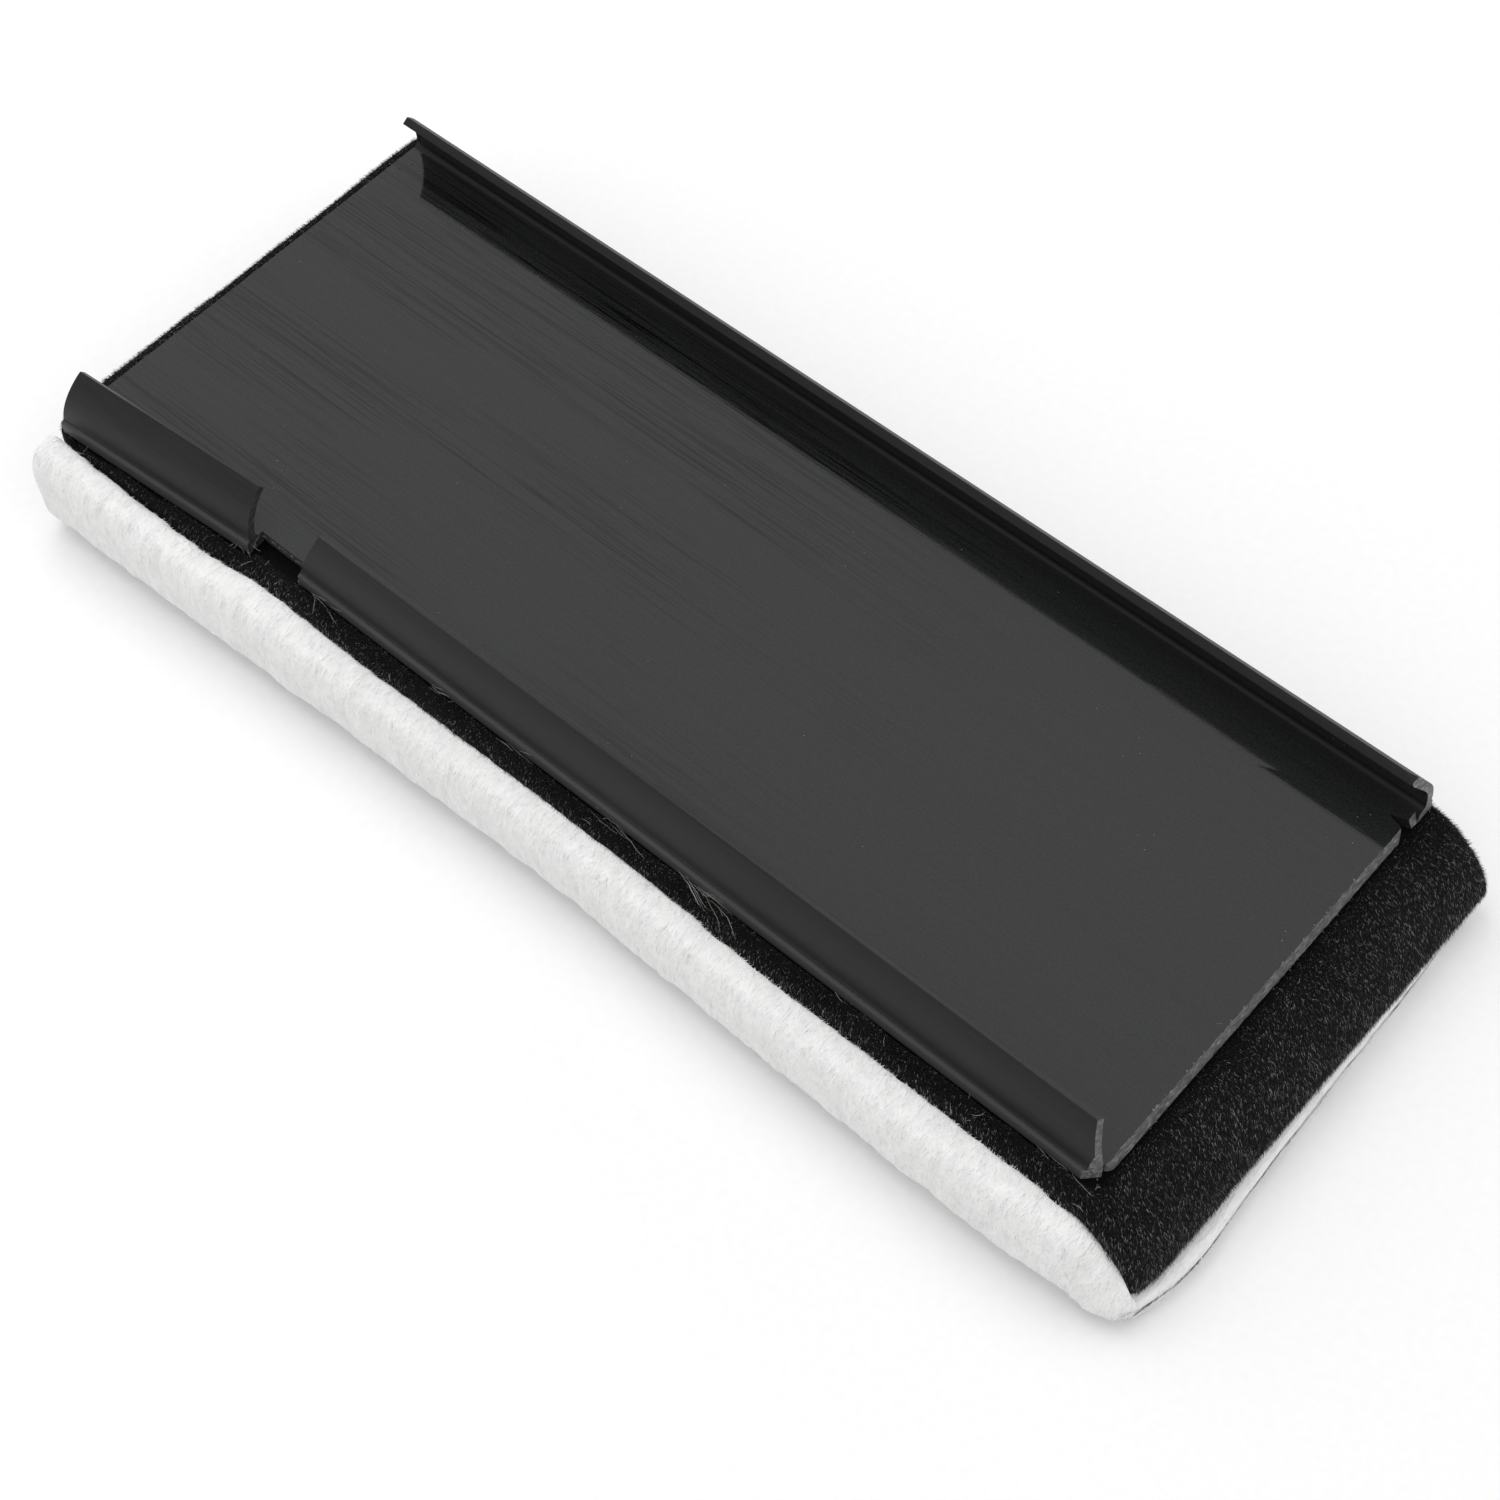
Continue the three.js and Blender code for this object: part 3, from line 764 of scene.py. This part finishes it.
def velour_pad(material):
    """Foam pad under its velour: crowned edges, puffed out round the channel, and bent down over the
    right end, where the cover droops lowest at the far corner."""
    grid, faces = shell_grid(*PAD_CELLS)
    share = grid / np.array(PAD_CELLS)
    straight = PAD_BEND_START - PAD_LO[0]
    size = np.array([straight + PAD_BEND_LENGTH, PAD_HI[1] - PAD_LO[1], PAD_HI[2] - PAD_LO[2]])
    local = size * (PAD_CROWDING * crowded(share) + (1 - PAD_CROWDING) * share)
    soft = rounded(local, np.zeros(3), size, [PAD_LEFT_EDGE_RADIUS, PAD_NEAR_EDGE_RADIUS, PAD_EDGE_RADIUS])
    run, across, up = soft[:, 0], soft[:, 1] / size[1], soft[:, 2] / size[2]
    bend = np.clip((run - straight) / PAD_BEND_LENGTH, 0, 1)
    low = PAD_END_LOW_NEAR + (PAD_END_LOW_FAR - PAD_END_LOW_NEAR) * across**2
    hem = np.outer(across * size[1], (1, 0, 0))
    low += 0.55 * field(hem, 0.11, 18) + 0.3 * field(hem, 0.6, 19)
    reach = PAD_HI[0] - PAD_BEND_START
    turn = bend * math.pi / 2
    top_x = np.where(run < straight, PAD_LO[0] + run, PAD_BEND_START + reach * np.sin(turn))
    top_z = low + (PAD_HI[2] - low) * np.cos(turn)
    bottom_x = np.where(run < straight, PAD_LO[0] + run, PAD_BEND_START + (reach - 1.4) * bend)
    bottom_z = PAD_LO[2] - 0.1 + (low - 0.3 - PAD_LO[2]) * smoothstep(bend, 0.3, 1)
    x = bottom_x + (top_x - bottom_x) * up
    z = bottom_z + (top_z - bottom_z) * up
    y = PAD_LO[1] + across * size[1]
    pad = mesh_object("velour_pad", np.column_stack([x, y, z]), faces, [material])
    points, normals = points_and_normals(pad)
    x, y, z = points.T  # views: changing them moves the points
    towards_roll = np.minimum(roll_inner(x) + 0.15 - PAD_LO[1], 0)
    y += towards_roll * smoothstep(-y, 24, 31)
    away = outside_channel(x, y)
    left_side = smoothstep(-x, -LEFT, -LEFT + 1.0)
    near_side = smoothstep(-y, 26.0, 28.5) * (1 - smoothstep(x, RIGHT - 6, RIGHT + 4))
    height = PAD_PUFF + (PAD_NEAR_PUFF - PAD_PUFF) * np.maximum(near_side, left_side)
    puff = height * smoothstep(away, -0.1, 0.5) * (1 - 0.55 * (1 - left_side) * smoothstep(away, 1.2, 7.0))
    z += puff * np.clip(normals[:, 2], 0, 1)
    lumps = 0.16 * field(points, 0.11, 3) + 0.07 * field(points, 0.45, 4)
    lumps *= smoothstep(away, -1.0, 0.6)
    points += normals * lumps[:, None]
    up_share = smoothstep(z, PAD_LO[2] + 3, PAD_HI[2] - 1)
    beyond = np.clip((PAD_LO[1] + PAD_CORNER_REACH - y) / PAD_CORNER_REACH, 0, 1)
    near_left = 1 - smoothstep(x, PAD_LO[0] + 0.5, PAD_LO[0] + 8)
    near_right = smoothstep(x, PAD_HI[0] - 9, PAD_HI[0] - 0.5)
    x -= PAD_LEFT_BULGE * (1 - smoothstep(x, PAD_LO[0] + 0.3, PAD_LO[0] + 2.5)) * up_share
    x += (1 - np.sqrt(1 - beyond**2)) * (PAD_CORNER_PULL * near_left - PAD_RIGHT_CORNER_PULL * near_right)
    set_points(pad, points)
    finish_piece(pad, ("velour_cover", "foam_core"))
    return pad


# The plush: its flat layer, the roll along the near side, and the rounding of its two ends.
PILE_LAYER = 3.8
ROLL_GAP = 0.35
STRAND_ROOM = 0.25
CREST_FULLNESS = 0.6
CREST_DEPTH = 2.9
ROLL_STATIONS = 330
END_STEPS = (0.0, 0.04, 0.12, 0.25, 0.45, 0.7, 1.0, 1.4, 1.9)
END_ROOM = 2.6
PLUSH_END_RADIUS_LEFT = 1.6
PLUSH_END_RADIUS_RIGHT = 1.2


def roll_out(x):
    """How far out the plush roll's face stands at x."""
    stations = [(-92, -38.2), (-62, -37.5), (-30, -36.5), (5, -35.9), (30, -36.4), (55, -36.9)]
    return curve_through(x, *stations, (80, -36.7), (87, -36.0), (93, -34.6))


def roll_top(x):
    """Height of the roll's crest at x."""
    stations = [(-92, 16.3), (-64, 15.3), (-46, 14.4), (0, 14.1), (30, 14.3), (60, 14.0)]
    return curve_through(x, *stations, (79, 13.5), (84, 11.9), (88, 8.4), (93, 4.0))


def roll_inner(x):
    """Where the roll's crest meets the velour at x."""
    stations = [(-92, -32.2), (-74, -32.5), (-58, -32.2), (-50, -31.3), (-30, -31.1), (-14, -30.5)]
    stations += [(10, -30.4), (30, -31.3), (60, -31.3), (79, -31.3), (85, -30.8), (93, -32.4)]
    return curve_through(x, *stations)


def plush_right(y):
    """Right edge of the plush at y: drawn in at the near corner and fullest just past it."""
    stations = [(-39, 89.6), (-33.4, 91.0), (-31.3, 91.7), (-25.4, 92.9), (-13.7, 92.6)]
    return curve_through(y, *stations, (-5.5, 92.2), (10, 91.8), (38, 90.9))


def plush_outline(x):
    """Closed section of the plush at x: roll, wiping face, far edge and the hidden top, as y, z rows,
    each with the centre that it shrinks to at the ends."""
    out, top = roll_out(x) + STRAND_ROOM, roll_top(x) - STRAND_ROOM
    inner = roll_inner(x) - STRAND_ROOM / 2
    wall = min(inner, PAD_LO[1] - ROLL_GAP)
    shoulder = min(PAD_HI[2] + PAD_PUFF - 0.3, top - 0.5)
    crest = out + CREST_DEPTH
    side = max(top - 5.5, 3.2)
    foot = min(5.5, side - 0.2)
    far = PILE_HI[1] - 0.3
    bend = far - 2
    quarter = np.radians(np.linspace(0, 90, 9))
    roll = [(wall, z) for z in np.linspace(PILE_LAYER + 0.2, shoulder - 0.2, 6)]
    for a in quarter:
        inwards, upwards = max(math.cos(a), 0) ** CREST_FULLNESS, math.sin(a) ** CREST_FULLNESS
        roll.append((crest + (inner - crest) * inwards, shoulder + (top - shoulder) * upwards))
    roll += [(crest - CREST_DEPTH * math.sin(a), side + (top - side) * math.cos(a)) for a in quarter[1:]]
    roll += [(out + 0.03 * k, z) for k, z in enumerate(np.linspace(side, foot, 4)[1:-1])]
    roll += [(out + 6 - 6 * math.cos(a), foot - foot * math.sin(a)) for a in quarter]
    rows = [(y, z, (wall + out) / 2, max(top / 2, 2.0)) for y, z in roll]
    layer = [(y, 0, y) for y in np.linspace(out + 8, bend, 56)]
    layer += [(bend + 2 * math.sin(a), 2 - 2 * math.cos(a), bend) for a in quarter[1:]]
    layer += [(far, 3.0, bend)]
    layer += [(y, PILE_LAYER, min(y, bend)) for y in np.linspace(far - 0.3, wall, 57)]
    rows += [(*row, PILE_LAYER / 2) for row in layer]
    return np.array(rows)


def plush_pad(material):
    """The white plush: a flat wiping face, turned up along the near side into a soft roll."""
    length = PILE_HI[0] - PILE_LO[0]
    near_ends = np.array(END_STEPS) / length
    between = np.linspace(END_ROOM / length, 1 - END_ROOM / length, ROLL_STATIONS)
    share = np.concatenate([near_ends, between, 1 - near_ends[::-1]])
    left = PILE_LO[0] - 0.9
    rings = []
    for s in share:
        ring = plush_outline(left + (PILE_HI[0] - left) * s)
        y, z, cy, cz = ring.T
        right = plush_right(y) - STRAND_ROOM
        x = left + (right - left) * s
        radius = PLUSH_END_RADIUS_LEFT if s < 0.5 else PLUSH_END_RADIUS_RIGHT
        from_end = np.clip((x - left if s < 0.5 else right - x) / radius, 0, 1)
        inset = radius * (1 - np.sqrt(1 - (1 - from_end) ** 2))
        to_centre = np.column_stack([cy - y, cz - z])
        room = np.linalg.norm(to_centre, axis=1)
        moved = to_centre / np.maximum(room, 1e-6)[:, None] * np.minimum(inset, 0.95 * room)[:, None]
        rings.append(np.column_stack([x, y + moved[:, 0], z + moved[:, 1]]))
    sides, caps = tube(len(rings), len(rings[0]))
    plush = mesh_object("plush_pad", np.concatenate(rings), sides + caps, [material])
    edit_mesh(
        plush,
        lambda bm: bmesh.ops.remove_doubles(bm, verts=bm.verts, dist=0.02 * MM),
        lambda bm: bmesh.ops.dissolve_degenerate(bm, edges=bm.edges, dist=0.005 * MM),
        lambda bm: bmesh.ops.holes_fill(bm, edges=[e for e in bm.edges if e.is_boundary], sides=0),
        face_outwards,
    )
    plush.data.polygons.foreach_set("use_smooth", np.full(len(plush.data.polygons), True))
    points, normals = points_and_normals(plush)
    stretched = points * (1.0, 0.25, 0.25)
    tufts = 0.24 * field(stretched, 0.35, 7) + 0.17 * field(stretched, 0.9, 8)
    roll = smoothstep(-points[:, 1], -PAD_LO[1] - 1.0, -PAD_LO[1] + 1.5)
    points += normals * (tufts * (0.5 + 0.5 * roll))[:, None]
    points[:, 2] = np.maximum(points[:, 2], 0.02)
    set_points(plush, points)
    finish_piece(plush, ("plush_pile",))
    return plush


SHEET_THICKNESS = 0.55


def backing_sheet(material):
    """Knitted ground cloth, flat under the pad and turned up along its near side."""
    low, turn = BACKING_LO[2] + 0.1, BACKING_LO[1] + 0.35
    corner = 0.8
    far = BACKING_HI[1] - 0.5
    section = [(far - t, low) for t in np.linspace(0, far - turn - corner, 40)]
    for a in np.radians((22, 45, 68, 90)):
        section.append((turn + corner - corner * math.sin(a), low + corner - corner * math.cos(a)))
    section += [(turn, z) for z in np.linspace(low + corner, BACKING_HI[2], 6)[1:]]
    flat_width = sum(math.dist(a, b) for a, b in zip(section, section[1:]))
    stations = np.linspace(BACKING_LO[0] + 0.8, BACKING_HI[0] - 3.2, 120)
    verts = [(x, y, z) for x in stations for y, z in section]
    count = len(section)
    faces = [
        (i * count + j, i * count + j + 1, (i + 1) * count + j + 1, (i + 1) * count + j)
        for i in range(len(stations) - 1)
        for j in range(count - 1)
    ]
    sheet = mesh_object("backing_sheet", verts, faces, [material])
    points, _ = points_and_normals(sheet)
    # Where the roll's crest is low, the turned-up part is squashed to stay under it.
    crest_room = np.clip(roll_top(points[:, 0]) - 3.2, low + 0.8, BACKING_HI[2])
    base = low + corner
    up = points[:, 2] > base
    points[up, 2] = base + (points[up, 2] - base) * (crest_room[up] - base) / (BACKING_HI[2] - base)
    points[:, 2] += 0.05 * field(points, 0.3, 9)
    set_points(sheet, points)
    thick = sheet.modifiers.new("thickness", "SOLIDIFY")
    thick.thickness = SHEET_THICKNESS * MM
    thick.offset = 0
    finish_piece(sheet, ("plush_backing",))


# ---- fibres


def scatter(obj, per_mm2, seed, keep):
    """Random points on a mesh, with normals, where keep(points, normals) gives a share from 0 to 1."""
    rng = np.random.default_rng(seed)
    mesh = obj.data
    mesh.calc_loop_triangles()
    corners = np.array([tuple(triangle.vertices) for triangle in mesh.loop_triangles])
    points, normals = points_and_normals(obj)
    a, b, c = (points[corners[:, i]] for i in range(3))
    area = np.linalg.norm(np.cross(b - a, c - a), axis=1) / 2
    middle = (a + b + c) / 3
    facing = normals[corners].mean(axis=1)
    weight = area * keep(middle, facing)
    total = int(weight.sum() * per_mm2)
    chosen = rng.choice(len(area), total, p=weight / weight.sum())
    u, v = rng.random(total), rng.random(total)
    flip = u + v > 1
    u[flip], v[flip] = 1 - u[flip], 1 - v[flip]
    u, v = u[:, None], v[:, None]
    tri = corners[chosen]

    def blend(rows):
        return rows[tri[:, 0]] * (1 - u - v) + rows[tri[:, 1]] * u + rows[tri[:, 2]] * v

    return blend(points), unit(blend(normals)), rng


def unit(vectors):
    return vectors / np.maximum(np.linalg.norm(vectors, axis=1, keepdims=True), 1e-9)


def ribbon_mesh(name, centres, sides, materials, shades):
    """Tapered ribbons: centres and half-width vectors are (strand, station, 3) arrays."""
    strands, stations = centres.shape[:2]
    left, right = centres - sides, centres + sides
    verts = np.concatenate([left[:, :-1], right[:, :-1], centres[:, -1:]], axis=1)
    per = 2 * (stations - 1) + 1
    faces = []
    for base in range(0, strands * per, per):
        across = base + stations - 1
        faces += [(base + k, across + k, across + k + 1, base + k + 1) for k in range(stations - 2)]
        faces.append((across - 1, base + per - 2, base + per - 1))
    return mesh_object(name, verts.reshape(-1, 3), faces, materials, np.repeat(shades, stations - 1))


NAP_LENGTH = 0.58
NAP_WIDTH = 0.034
NAP_DENSITY = 34
NAP_LAY = (0.62, -0.74, 0.0)
HEM_LAY = (0.2, -0.1, -1.3)


def velour_nap(pad, materials):
    """Short black pile all over the velour that shows, with grey and pale fibres among it as painted sheen
    and painted glints.
    """

    def keep(points, normals):
        x, y, z = points.T
        under_plate = (normals[:, 2] > 0.3) & (outside_channel(x, y) < -0.2)
        behind_roll = (normals[:, 1] < -0.6) & (z < roll_top(x) - 1.6)
        return np.where(under_plate | behind_roll | (normals[:, 2] < -0.5), 0.0, 1.0)

    at, out, rng = scatter(pad, NAP_DENSITY, 21, keep)
    count = len(at)
    swirl = np.column_stack([field(at, 0.2, 5), field(at, 0.2, 6), np.zeros(count)]) * 0.4
    lay = np.array(NAP_LAY) * (0.9 + 0.5 * field(at, 0.12, 16))[:, None] + swirl
    lay -= out * (lay * out).sum(axis=1)[:, None]
    hem = smoothstep(at[:, 0], PAD_HI[0] - 3, PAD_HI[0] - 1) * (1 - smoothstep(at[:, 2], 3.5, 6.5))
    lay += np.array(HEM_LAY) * hem[:, None]
    lean = unit(out * 0.62 + lay + rng.normal(0, 0.2, (count, 3)))
    lean = unit(lean + out * np.clip(0.22 - (lean * out).sum(axis=1), 0, None)[:, None])
    length = NAP_LENGTH * rng.uniform(0.6, 1.35, count)[:, None]
    side = unit(np.cross(lean, rng.normal(0, 1, (count, 3)))) * NAP_WIDTH
    side *= rng.uniform(0.6, 1.3, count)[:, None]
    centres = np.stack([at - out * 0.05, at + lean * length], axis=1)
    sides = np.stack([side, side * 0], axis=1)
    # Shades 1 and 2 are lit copies of the black fibre: painted sheen and painted glints.
    shades = rng.choice(3, count, p=(0.62, 0.22, 0.16))
    # Left of the channel a share of fibres turns pale: more painted glints along that edge.
    painted_glints_left = (at[:, 0] < LEFT - 1) & (rng.random(count) < 0.3)
    shades[painted_glints_left] = 2
    finish_piece(ribbon_mesh("velour_nap", centres, sides, materials, shades))


STRAND_LENGTH = 2.8
STRAND_WIDTH = 0.034
STRAND_DENSITY = 11
ROLL_CURVE = 4.5


def plush_strands(plush, materials):
    """Soft white pile: strands combed down over the roll in tufts, and short ones round the other edges."""

    def keep(points, normals):
        x, y, z = points.T
        across, up = normals[:, 1], normals[:, 2]
        inner_wall = (across > 0.3) & (y < PAD_HI[1] - 4) & (z < PAD_HI[2])
        hidden_top = (up > 0.5) & (y > PAD_LO[1] - 0.2) & (x < PAD_HI[0] - 0.6) & (z < 6)
        wiping_face = (up < -0.85) & (y > PILE_LO[1] + 9)
        shown = np.where(inner_wall | hidden_top | wiping_face, 0.0, 1.0)
        shown[(y > PILE_HI[1] - 3) & (up < -0.2)] *= 0.3
        return shown

    at, out, rng = scatter(plush, STRAND_DENSITY, 31, keep)
    count = len(at)
    x_axis = np.array([1.0, 0, 0])
    down = unit(np.cross(x_axis, out) + np.array([0, 0, -0.15]))
    inner_edge = smoothstep(at[:, 1], roll_inner(at[:, 0]) - 2.2, roll_inner(at[:, 0]) - 0.9)
    inner_edge *= (at[:, 2] > 6) & (at[:, 1] < PAD_LO[1] + 3)
    comb = down * (1 - 1.7 * inner_edge[:, None])
    clump = np.outer(field(at * (1, 0.25, 0.25), 0.55, 12), x_axis)
    fan = np.column_stack([rng.normal(0, spread, count) for spread in (0.16, 0.05, 0.05)])
    lift = 0.12 + 0.13 * rng.random(count)
    reach = STRAND_LENGTH * rng.uniform(0.55, 1.25, count) * (1 - 0.72 * inner_edge)
    small = (at[:, 1] > PAD_LO[1] + 3) | (at[:, 0] > PAD_HI[0] - 3)
    reach *= np.where(small, 0.45, 1.0)
    stations = 3
    centres, sides = np.empty((2, count, stations, 3))
    place = at - out * 0.05
    width = STRAND_WIDTH * rng.uniform(0.7, 1.4, count)
    for k in range(stations):
        t = k / (stations - 1)
        rise = lift * (1.3 - 1.6 * t) - reach * t / ROLL_CURVE
        heading = unit(comb + out * rise[:, None] + clump * (0.45 + 0.25 * t) + fan * (1 + 0.5 * t))
        if k:
            place = place + heading * (reach / (stations - 1))[:, None]
        centres[:, k] = place
        sides[:, k] = unit(np.cross(heading, out)) * (width * (1 - 0.55 * t))[:, None]
    centres[:, :, 2] = np.maximum(centres[:, :, 2], 0.05)
    # Painted light and shade: strands in streaks across the roll take the bright or the grey copy of the
    # white fibre.
    light_and_shade_streak = field(at * (1.0, 0.22, 0.22), 0.9, 14) + 0.6 * field(at * (1.0, 0.3, 0.3), 2.2, 15)
    level = light_and_shade_streak + rng.normal(0, 0.3, count)
    shades = np.where(level > 0.28, 1, np.where(level < -0.26, 2, 0))
    finish_piece(ribbon_mesh("plush_strands", centres, sides, materials, shades))


def hair_mesh(name, paths, radii, material):
    """Thin tapered three-sided hairs along point lists."""
    verts, faces = [], []
    for path, radius in zip(paths, radii):
        path = np.asarray(path, float)
        along = unit(np.gradient(path, axis=0))
        base = len(verts)
        for i, (p, d) in enumerate(zip(path, along)):
            side = np.cross(d, (0.31, 0.52, 0.79))
            side /= np.linalg.norm(side)
            other = np.cross(d, side)
            taper = radius * (0.35 + 0.65 * math.sin(math.pi * (i + 0.5) / len(path)))
            verts += [p + taper * (side * math.cos(a) + other * math.sin(a)) for a in (0, 2.094, 4.189)]
        for i in range(len(path) - 1):
            for k in range(3):
                a, b = base + 3 * i + k, base + 3 * i + (k + 1) % 3
                faces.append((a, b, b + 3, a + 3))
        faces.append((base + 2, base + 1, base))
        end = base + 3 * (len(path) - 1)
        faces.append((end, end + 1, end + 2))
    return mesh_object(name, verts, faces, [material])


def wandering(rng, start, heading, length, curl, steps=9):
    """A path that sets out along heading and curls at random."""
    place, heading = np.array(start, float), np.array(heading, float)
    path = [place.copy()]
    for _ in range(steps):
        heading = heading + rng.normal(0, curl, 3)
        heading /= np.linalg.norm(heading)
        place = place + heading * length / steps
        path.append(place.copy())
    return path


LINT_BY_ROLL = 26
LINT_AT_END = 14


def towards(*direction):
    return unit(np.array([direction]))[0]


def stray_fibres(material):
    """Pale lint and stray pile caught on the black velour and at the foot of the channel."""
    rng = np.random.default_rng(41)
    paths, radii = [], []
    top = PAD_HI[2] + PAD_PUFF + 0.35
    for _ in range(LINT_BY_ROLL):
        x = rng.uniform(LEFT, RIGHT)
        start = (x, rng.uniform(roll_inner(x), NEAR - 0.3), top - 0.15)
        heading = towards(rng.normal(0.7, 0.6), rng.normal(0, 0.5), 0.08)
        paths.append(wandering(rng, start, heading, rng.uniform(0.6, 1.9), 0.16))
        radii.append(rng.uniform(0.014, 0.024))
    for _ in range(LINT_AT_END):
        start = (rng.uniform(RIGHT + 0.5, PAD_BEND_START + 5), rng.uniform(-29, 36), top - 0.1)
        heading = towards(rng.normal(0.2, 0.6), rng.normal(0, 0.8), -0.05)
        paths.append(wandering(rng, start, heading, rng.uniform(0.3, 0.9), 0.2))
        radii.append(rng.uniform(0.012, 0.02))
    finish_piece(hair_mesh("stray_fibres", paths, radii, material))


# Bunches of glue threads: millimetres from the channel's left end, count, length, spread of the heading.
GLUE_BUNCHES = (
    *((12, 3, 5, 0.10), (32, 3, 3, 0.3), (46, 5, 3, 0.16), (66, 3, 4, 0.2), (80, 3, 4, 0.3)),
    *((96, 5, 5, 0.22), (110, 9, 6.5, 0.16), (113.5, 10, 3.0, 0.8), (131, 2, 3, 0.3), (164, 3, 3, 0.4)),
)


def glue_strings(material):
    """Threads of glue drawn out along the near foot of the channel, in a few loose bunches."""
    rng = np.random.default_rng(51)
    paths, radii = [], []
    for place, count, length, spread in GLUE_BUNCHES:
        for _ in range(count):
            start = (
                LEFT + place + rng.normal(0, 1.7),
                NEAR - 0.35 + rng.normal(0, 0.18),
                BOTTOM + 0.7 + rng.uniform(-0.5, 0.8),
            )
            heading = towards(1, rng.normal(-0.08, spread), rng.normal(0, spread * 0.4))
            paths.append(wandering(rng, start, heading, length * rng.uniform(0.6, 1.3), 0.1, steps=12))
            radii.append(rng.uniform(0.011, 0.022))
    finish_piece(hair_mesh("glue_strings", paths, radii, material))


# ---- studio

CAMERA_AT = (140.96, -140.12, 296.62)
CAMERA_FORWARD = (-0.3776, 0.3887, -0.8404)
CAMERA_ROLL = math.radians(-3.13)
LENS = 66.1
KEY_AT, KEY_SIZE, KEY_WATTS = (-0.35, 0.1, 0.9), 0.7, 3.2
FLOOR_REACH = 2000


def set_up(obj, at, rotation):
    obj.location = at
    obj.rotation_mode = "QUATERNION"
    obj.rotation_quaternion = rotation


def camera():
    data = bpy.data.cameras.new("camera")
    data.lens = LENS
    data.sensor_width = 36
    data.clip_start, data.clip_end = 0.01, 10
    obj = add_object("camera", data)
    aim = Vector(CAMERA_FORWARD).to_track_quat("-Z", "Y")
    set_up(obj, Vector(CAMERA_AT) * MM, aim @ Quaternion((0, 0, 1), CAMERA_ROLL))
    bpy.context.scene.camera = obj


def key_light():
    """A soft square light that lifts the tones and leaves no reflection of its own."""
    data = bpy.data.lights.new("key_light", "AREA")
    data.shape, data.size, data.energy = "SQUARE", KEY_SIZE, KEY_WATTS
    obj = add_object("key_light", data)
    set_up(obj, KEY_AT, (-Vector(KEY_AT)).to_track_quat("-Z", "Y"))
    obj.visible_glossy = False


def studio():
    """A white tent: an even white sky, brighter overhead, over a pale sheet of paper."""
    world = bpy.data.worlds.new("white_tent")
    bpy.context.scene.world = world
    world.use_nodes = True
    tree = world.node_tree
    background = tree.nodes["Background"]
    background.inputs["Color"].default_value = (1, 1, 1, 1)
    source = tree.nodes.new("ShaderNodeTexCoord")
    split = tree.nodes.new("ShaderNodeSeparateXYZ")
    fade = tree.nodes.new("ShaderNodeMapRange")
    for key, value in (("From Min", 0.0), ("From Max", 0.8), ("To Min", 0.62), ("To Max", 1.0)):
        fade.inputs[key].default_value = value
    tree.links.new(source.outputs["Generated"], split.inputs["Vector"])
    tree.links.new(split.outputs["Z"], fade.inputs["Value"])
    tree.links.new(fade.outputs["Result"], background.inputs["Strength"])
    key_light()
    verts = [(x, y, 0) for x, y in rectangle(-FLOOR_REACH, -FLOOR_REACH, FLOOR_REACH, FLOOR_REACH)]
    floor = mesh_object("floor", verts, [(0, 1, 2, 3)], [studio_floor()], smooth=False)
    bpy.context.scene.view_settings.view_transform = "Standard"


# ---- the eraser

sawn = sawn_plastic("sawn_plastic", 0.05, 0.13, 0.42)
glue = dried_glue("dried_glue")
channel_body(
    [
        black_plastic(),
        edge_wear_and_highlight(),
        sawn,
        # Painted shade: the flanks, crests and far fillet painted darker than the plate.
        painted_flange_tone("painted_flange_tone", (0.003, 0.0032, 0.0031), (0.0075, 0.0079, 0.0077)),
        sawn_plastic("cut_plastic", 0.012, 0.028, 0.12),
        # Painted highlight: the near flange's crest painted paler than the plate.
        painted_flange_tone("flange_tip_highlight", (0.03, 0.031, 0.0305), (0.05, 0.0515, 0.051)),
    ]
)
saw_burrs(sawn)

pad = velour_pad(velour_ground())
# The grey and glint fibres are painted sheen and painted glints on the black nap.
nap_shades = [
    fibre("nap_black", 0.006, 0.8, 0.02),
    fibre("nap_painted_sheen", 0.035, 0.55, 0.05),
    fibre("nap_glint", (0.30, 0.30, 0.298), 0.5, 0.1),
]
velour_nap(pad, nap_shades)

plush = plush_pad(plush_ground())
# The bright and grey copies of the white fibre are painted highlight and painted shade.
pile_shades = [
    fibre("pile_white", (0.83, 0.828, 0.832), 0.8, 0.1),
    fibre("pile_painted_highlight", (0.94, 0.938, 0.94), 0.7, 0.1),
    fibre("pile_painted_shade", (0.68, 0.675, 0.68), 0.8, 0.1),
]
plush_strands(plush, pile_shades)
backing_sheet(backing_cloth())

stray_fibres(fibre("lint", (0.62, 0.62, 0.61), 0.6, 0.2))
glue_strings(dried_glue("glue_thread"))
for film in ("upper_glue_film", "lower_glue_film"):
    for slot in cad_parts[film].material_slots:
        slot.material = glue

camera()
studio()
